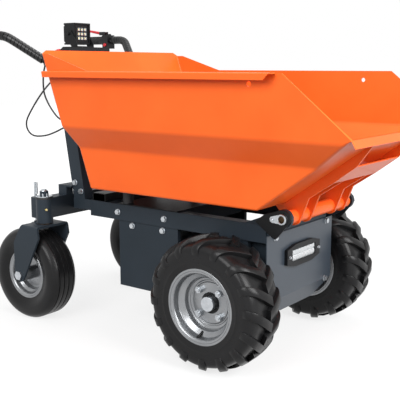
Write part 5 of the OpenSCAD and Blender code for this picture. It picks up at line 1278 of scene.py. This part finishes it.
# %% White world
WHITE, WORLD_LIGHT = (1, 1, 1, 1), 0.4
world = bpy.data.worlds.new("studio")
scene.world = world
world.use_nodes = True
tree = world.node_tree
sky = tree.nodes["Background"]
sky.inputs["Color"].default_value = WHITE
path = add(tree, "ShaderNodeLightPath")
seen = add(tree, "ShaderNodeMath", {0: path.outputs["Is Camera Ray"],
                                    1: path.outputs["Is Glossy Ray"]}, operation="MAXIMUM")
seen = add(tree, "ShaderNodeMath", {0: seen.outputs[0],
                                    1: path.outputs["Is Transmission Ray"]}, operation="MAXIMUM")
level = add(tree, "ShaderNodeMapRange", {"Value": seen.outputs[0], "To Min": WORLD_LIGHT,
                                         "To Max": 1.0})
tree.links.new(level.outputs["Result"], sky.inputs["Strength"])
print("the world lights with a strength of", WORLD_LIGHT)

# %% [markdown]
# ## Paper floor
# The machine stands on a sheet of paper. It is grey to the lamps, so that it throws little light
# up, and glows to the camera and in reflections until it is white, more so far away, so that
# the shadow stays near the wheels.

# %% Paper floor
STAGE_HALF, PAPER_GREY, PAPER_ROUGHNESS = 12, "#787878", 0.9
GLOW_NEAR_M, GLOW_FAR_M, GLOW_LEAST = 0.8, 3.5, 0.78
floor_mesh = bpy.data.meshes.new("floor")
floor_mesh.from_pydata([(x * STAGE_HALF, y * STAGE_HALF, 0) for x, y in SQUARE], [],
                       [(0, 1, 2, 3)])
floor = linked("floor", floor_mesh)
paper = bpy.data.materials.new("white_paper")
paper.use_nodes = True
tree = paper.node_tree
sheet = tree.nodes["Principled BSDF"]
sheet.inputs["Base Color"].default_value = linear(PAPER_GREY)
sheet.inputs["Roughness"].default_value = PAPER_ROUGHNESS
path = add(tree, "ShaderNodeLightPath")
seen = add(tree, "ShaderNodeMath", {0: path.outputs["Is Camera Ray"],
                                    1: path.outputs["Is Glossy Ray"]}, operation="MAXIMUM")
place = add(tree, "ShaderNodeTexCoord")
away = add(tree, "ShaderNodeVectorMath", {0: place.outputs["Object"]}, operation="LENGTH")
glow = add(tree, "ShaderNodeMapRange",
           {"Value": away.outputs["Value"], "From Min": GLOW_NEAR_M, "From Max": GLOW_FAR_M,
            "To Min": GLOW_LEAST, "To Max": 1.0})
level = add(tree, "ShaderNodeMath", {0: seen.outputs[0], 1: glow.outputs["Result"]},
            operation="MULTIPLY")
sheet.inputs["Emission Color"].default_value = WHITE
tree.links.new(level.outputs[0], sheet.inputs["Emission Strength"])
floor_mesh.materials.append(paper)
print("a floor of", 2 * STAGE_HALF, "m")

# %% [markdown]
# ## Lamps
# Three wide lamps shape the form softly: a key lamp on the near side, one in front for the chute
# and the front plate, and a weak one above for the inside of the tub.

# %% Lamps
AIM = Vector((0, 0, 0.5))


def lamp(name, place, size, power):
    """A square lamp at a place in metres that shines on the middle of the machine."""
    data = bpy.data.lights.new(name, "AREA")
    data.size = size
    data.energy = power
    made = linked(name, data)
    made.location = place
    made.rotation_euler = (AIM - Vector(place)).to_track_quat("-Z", "Y").to_euler()


lamp("key", (0.6, -3.2, 2.4), 2.2, 104)
lamp("front", (3.3, -0.4, 2.0), 2.0, 130)
lamp("top", (0, 0.4, 3.6), 2.6, 45)
print("three lamps")
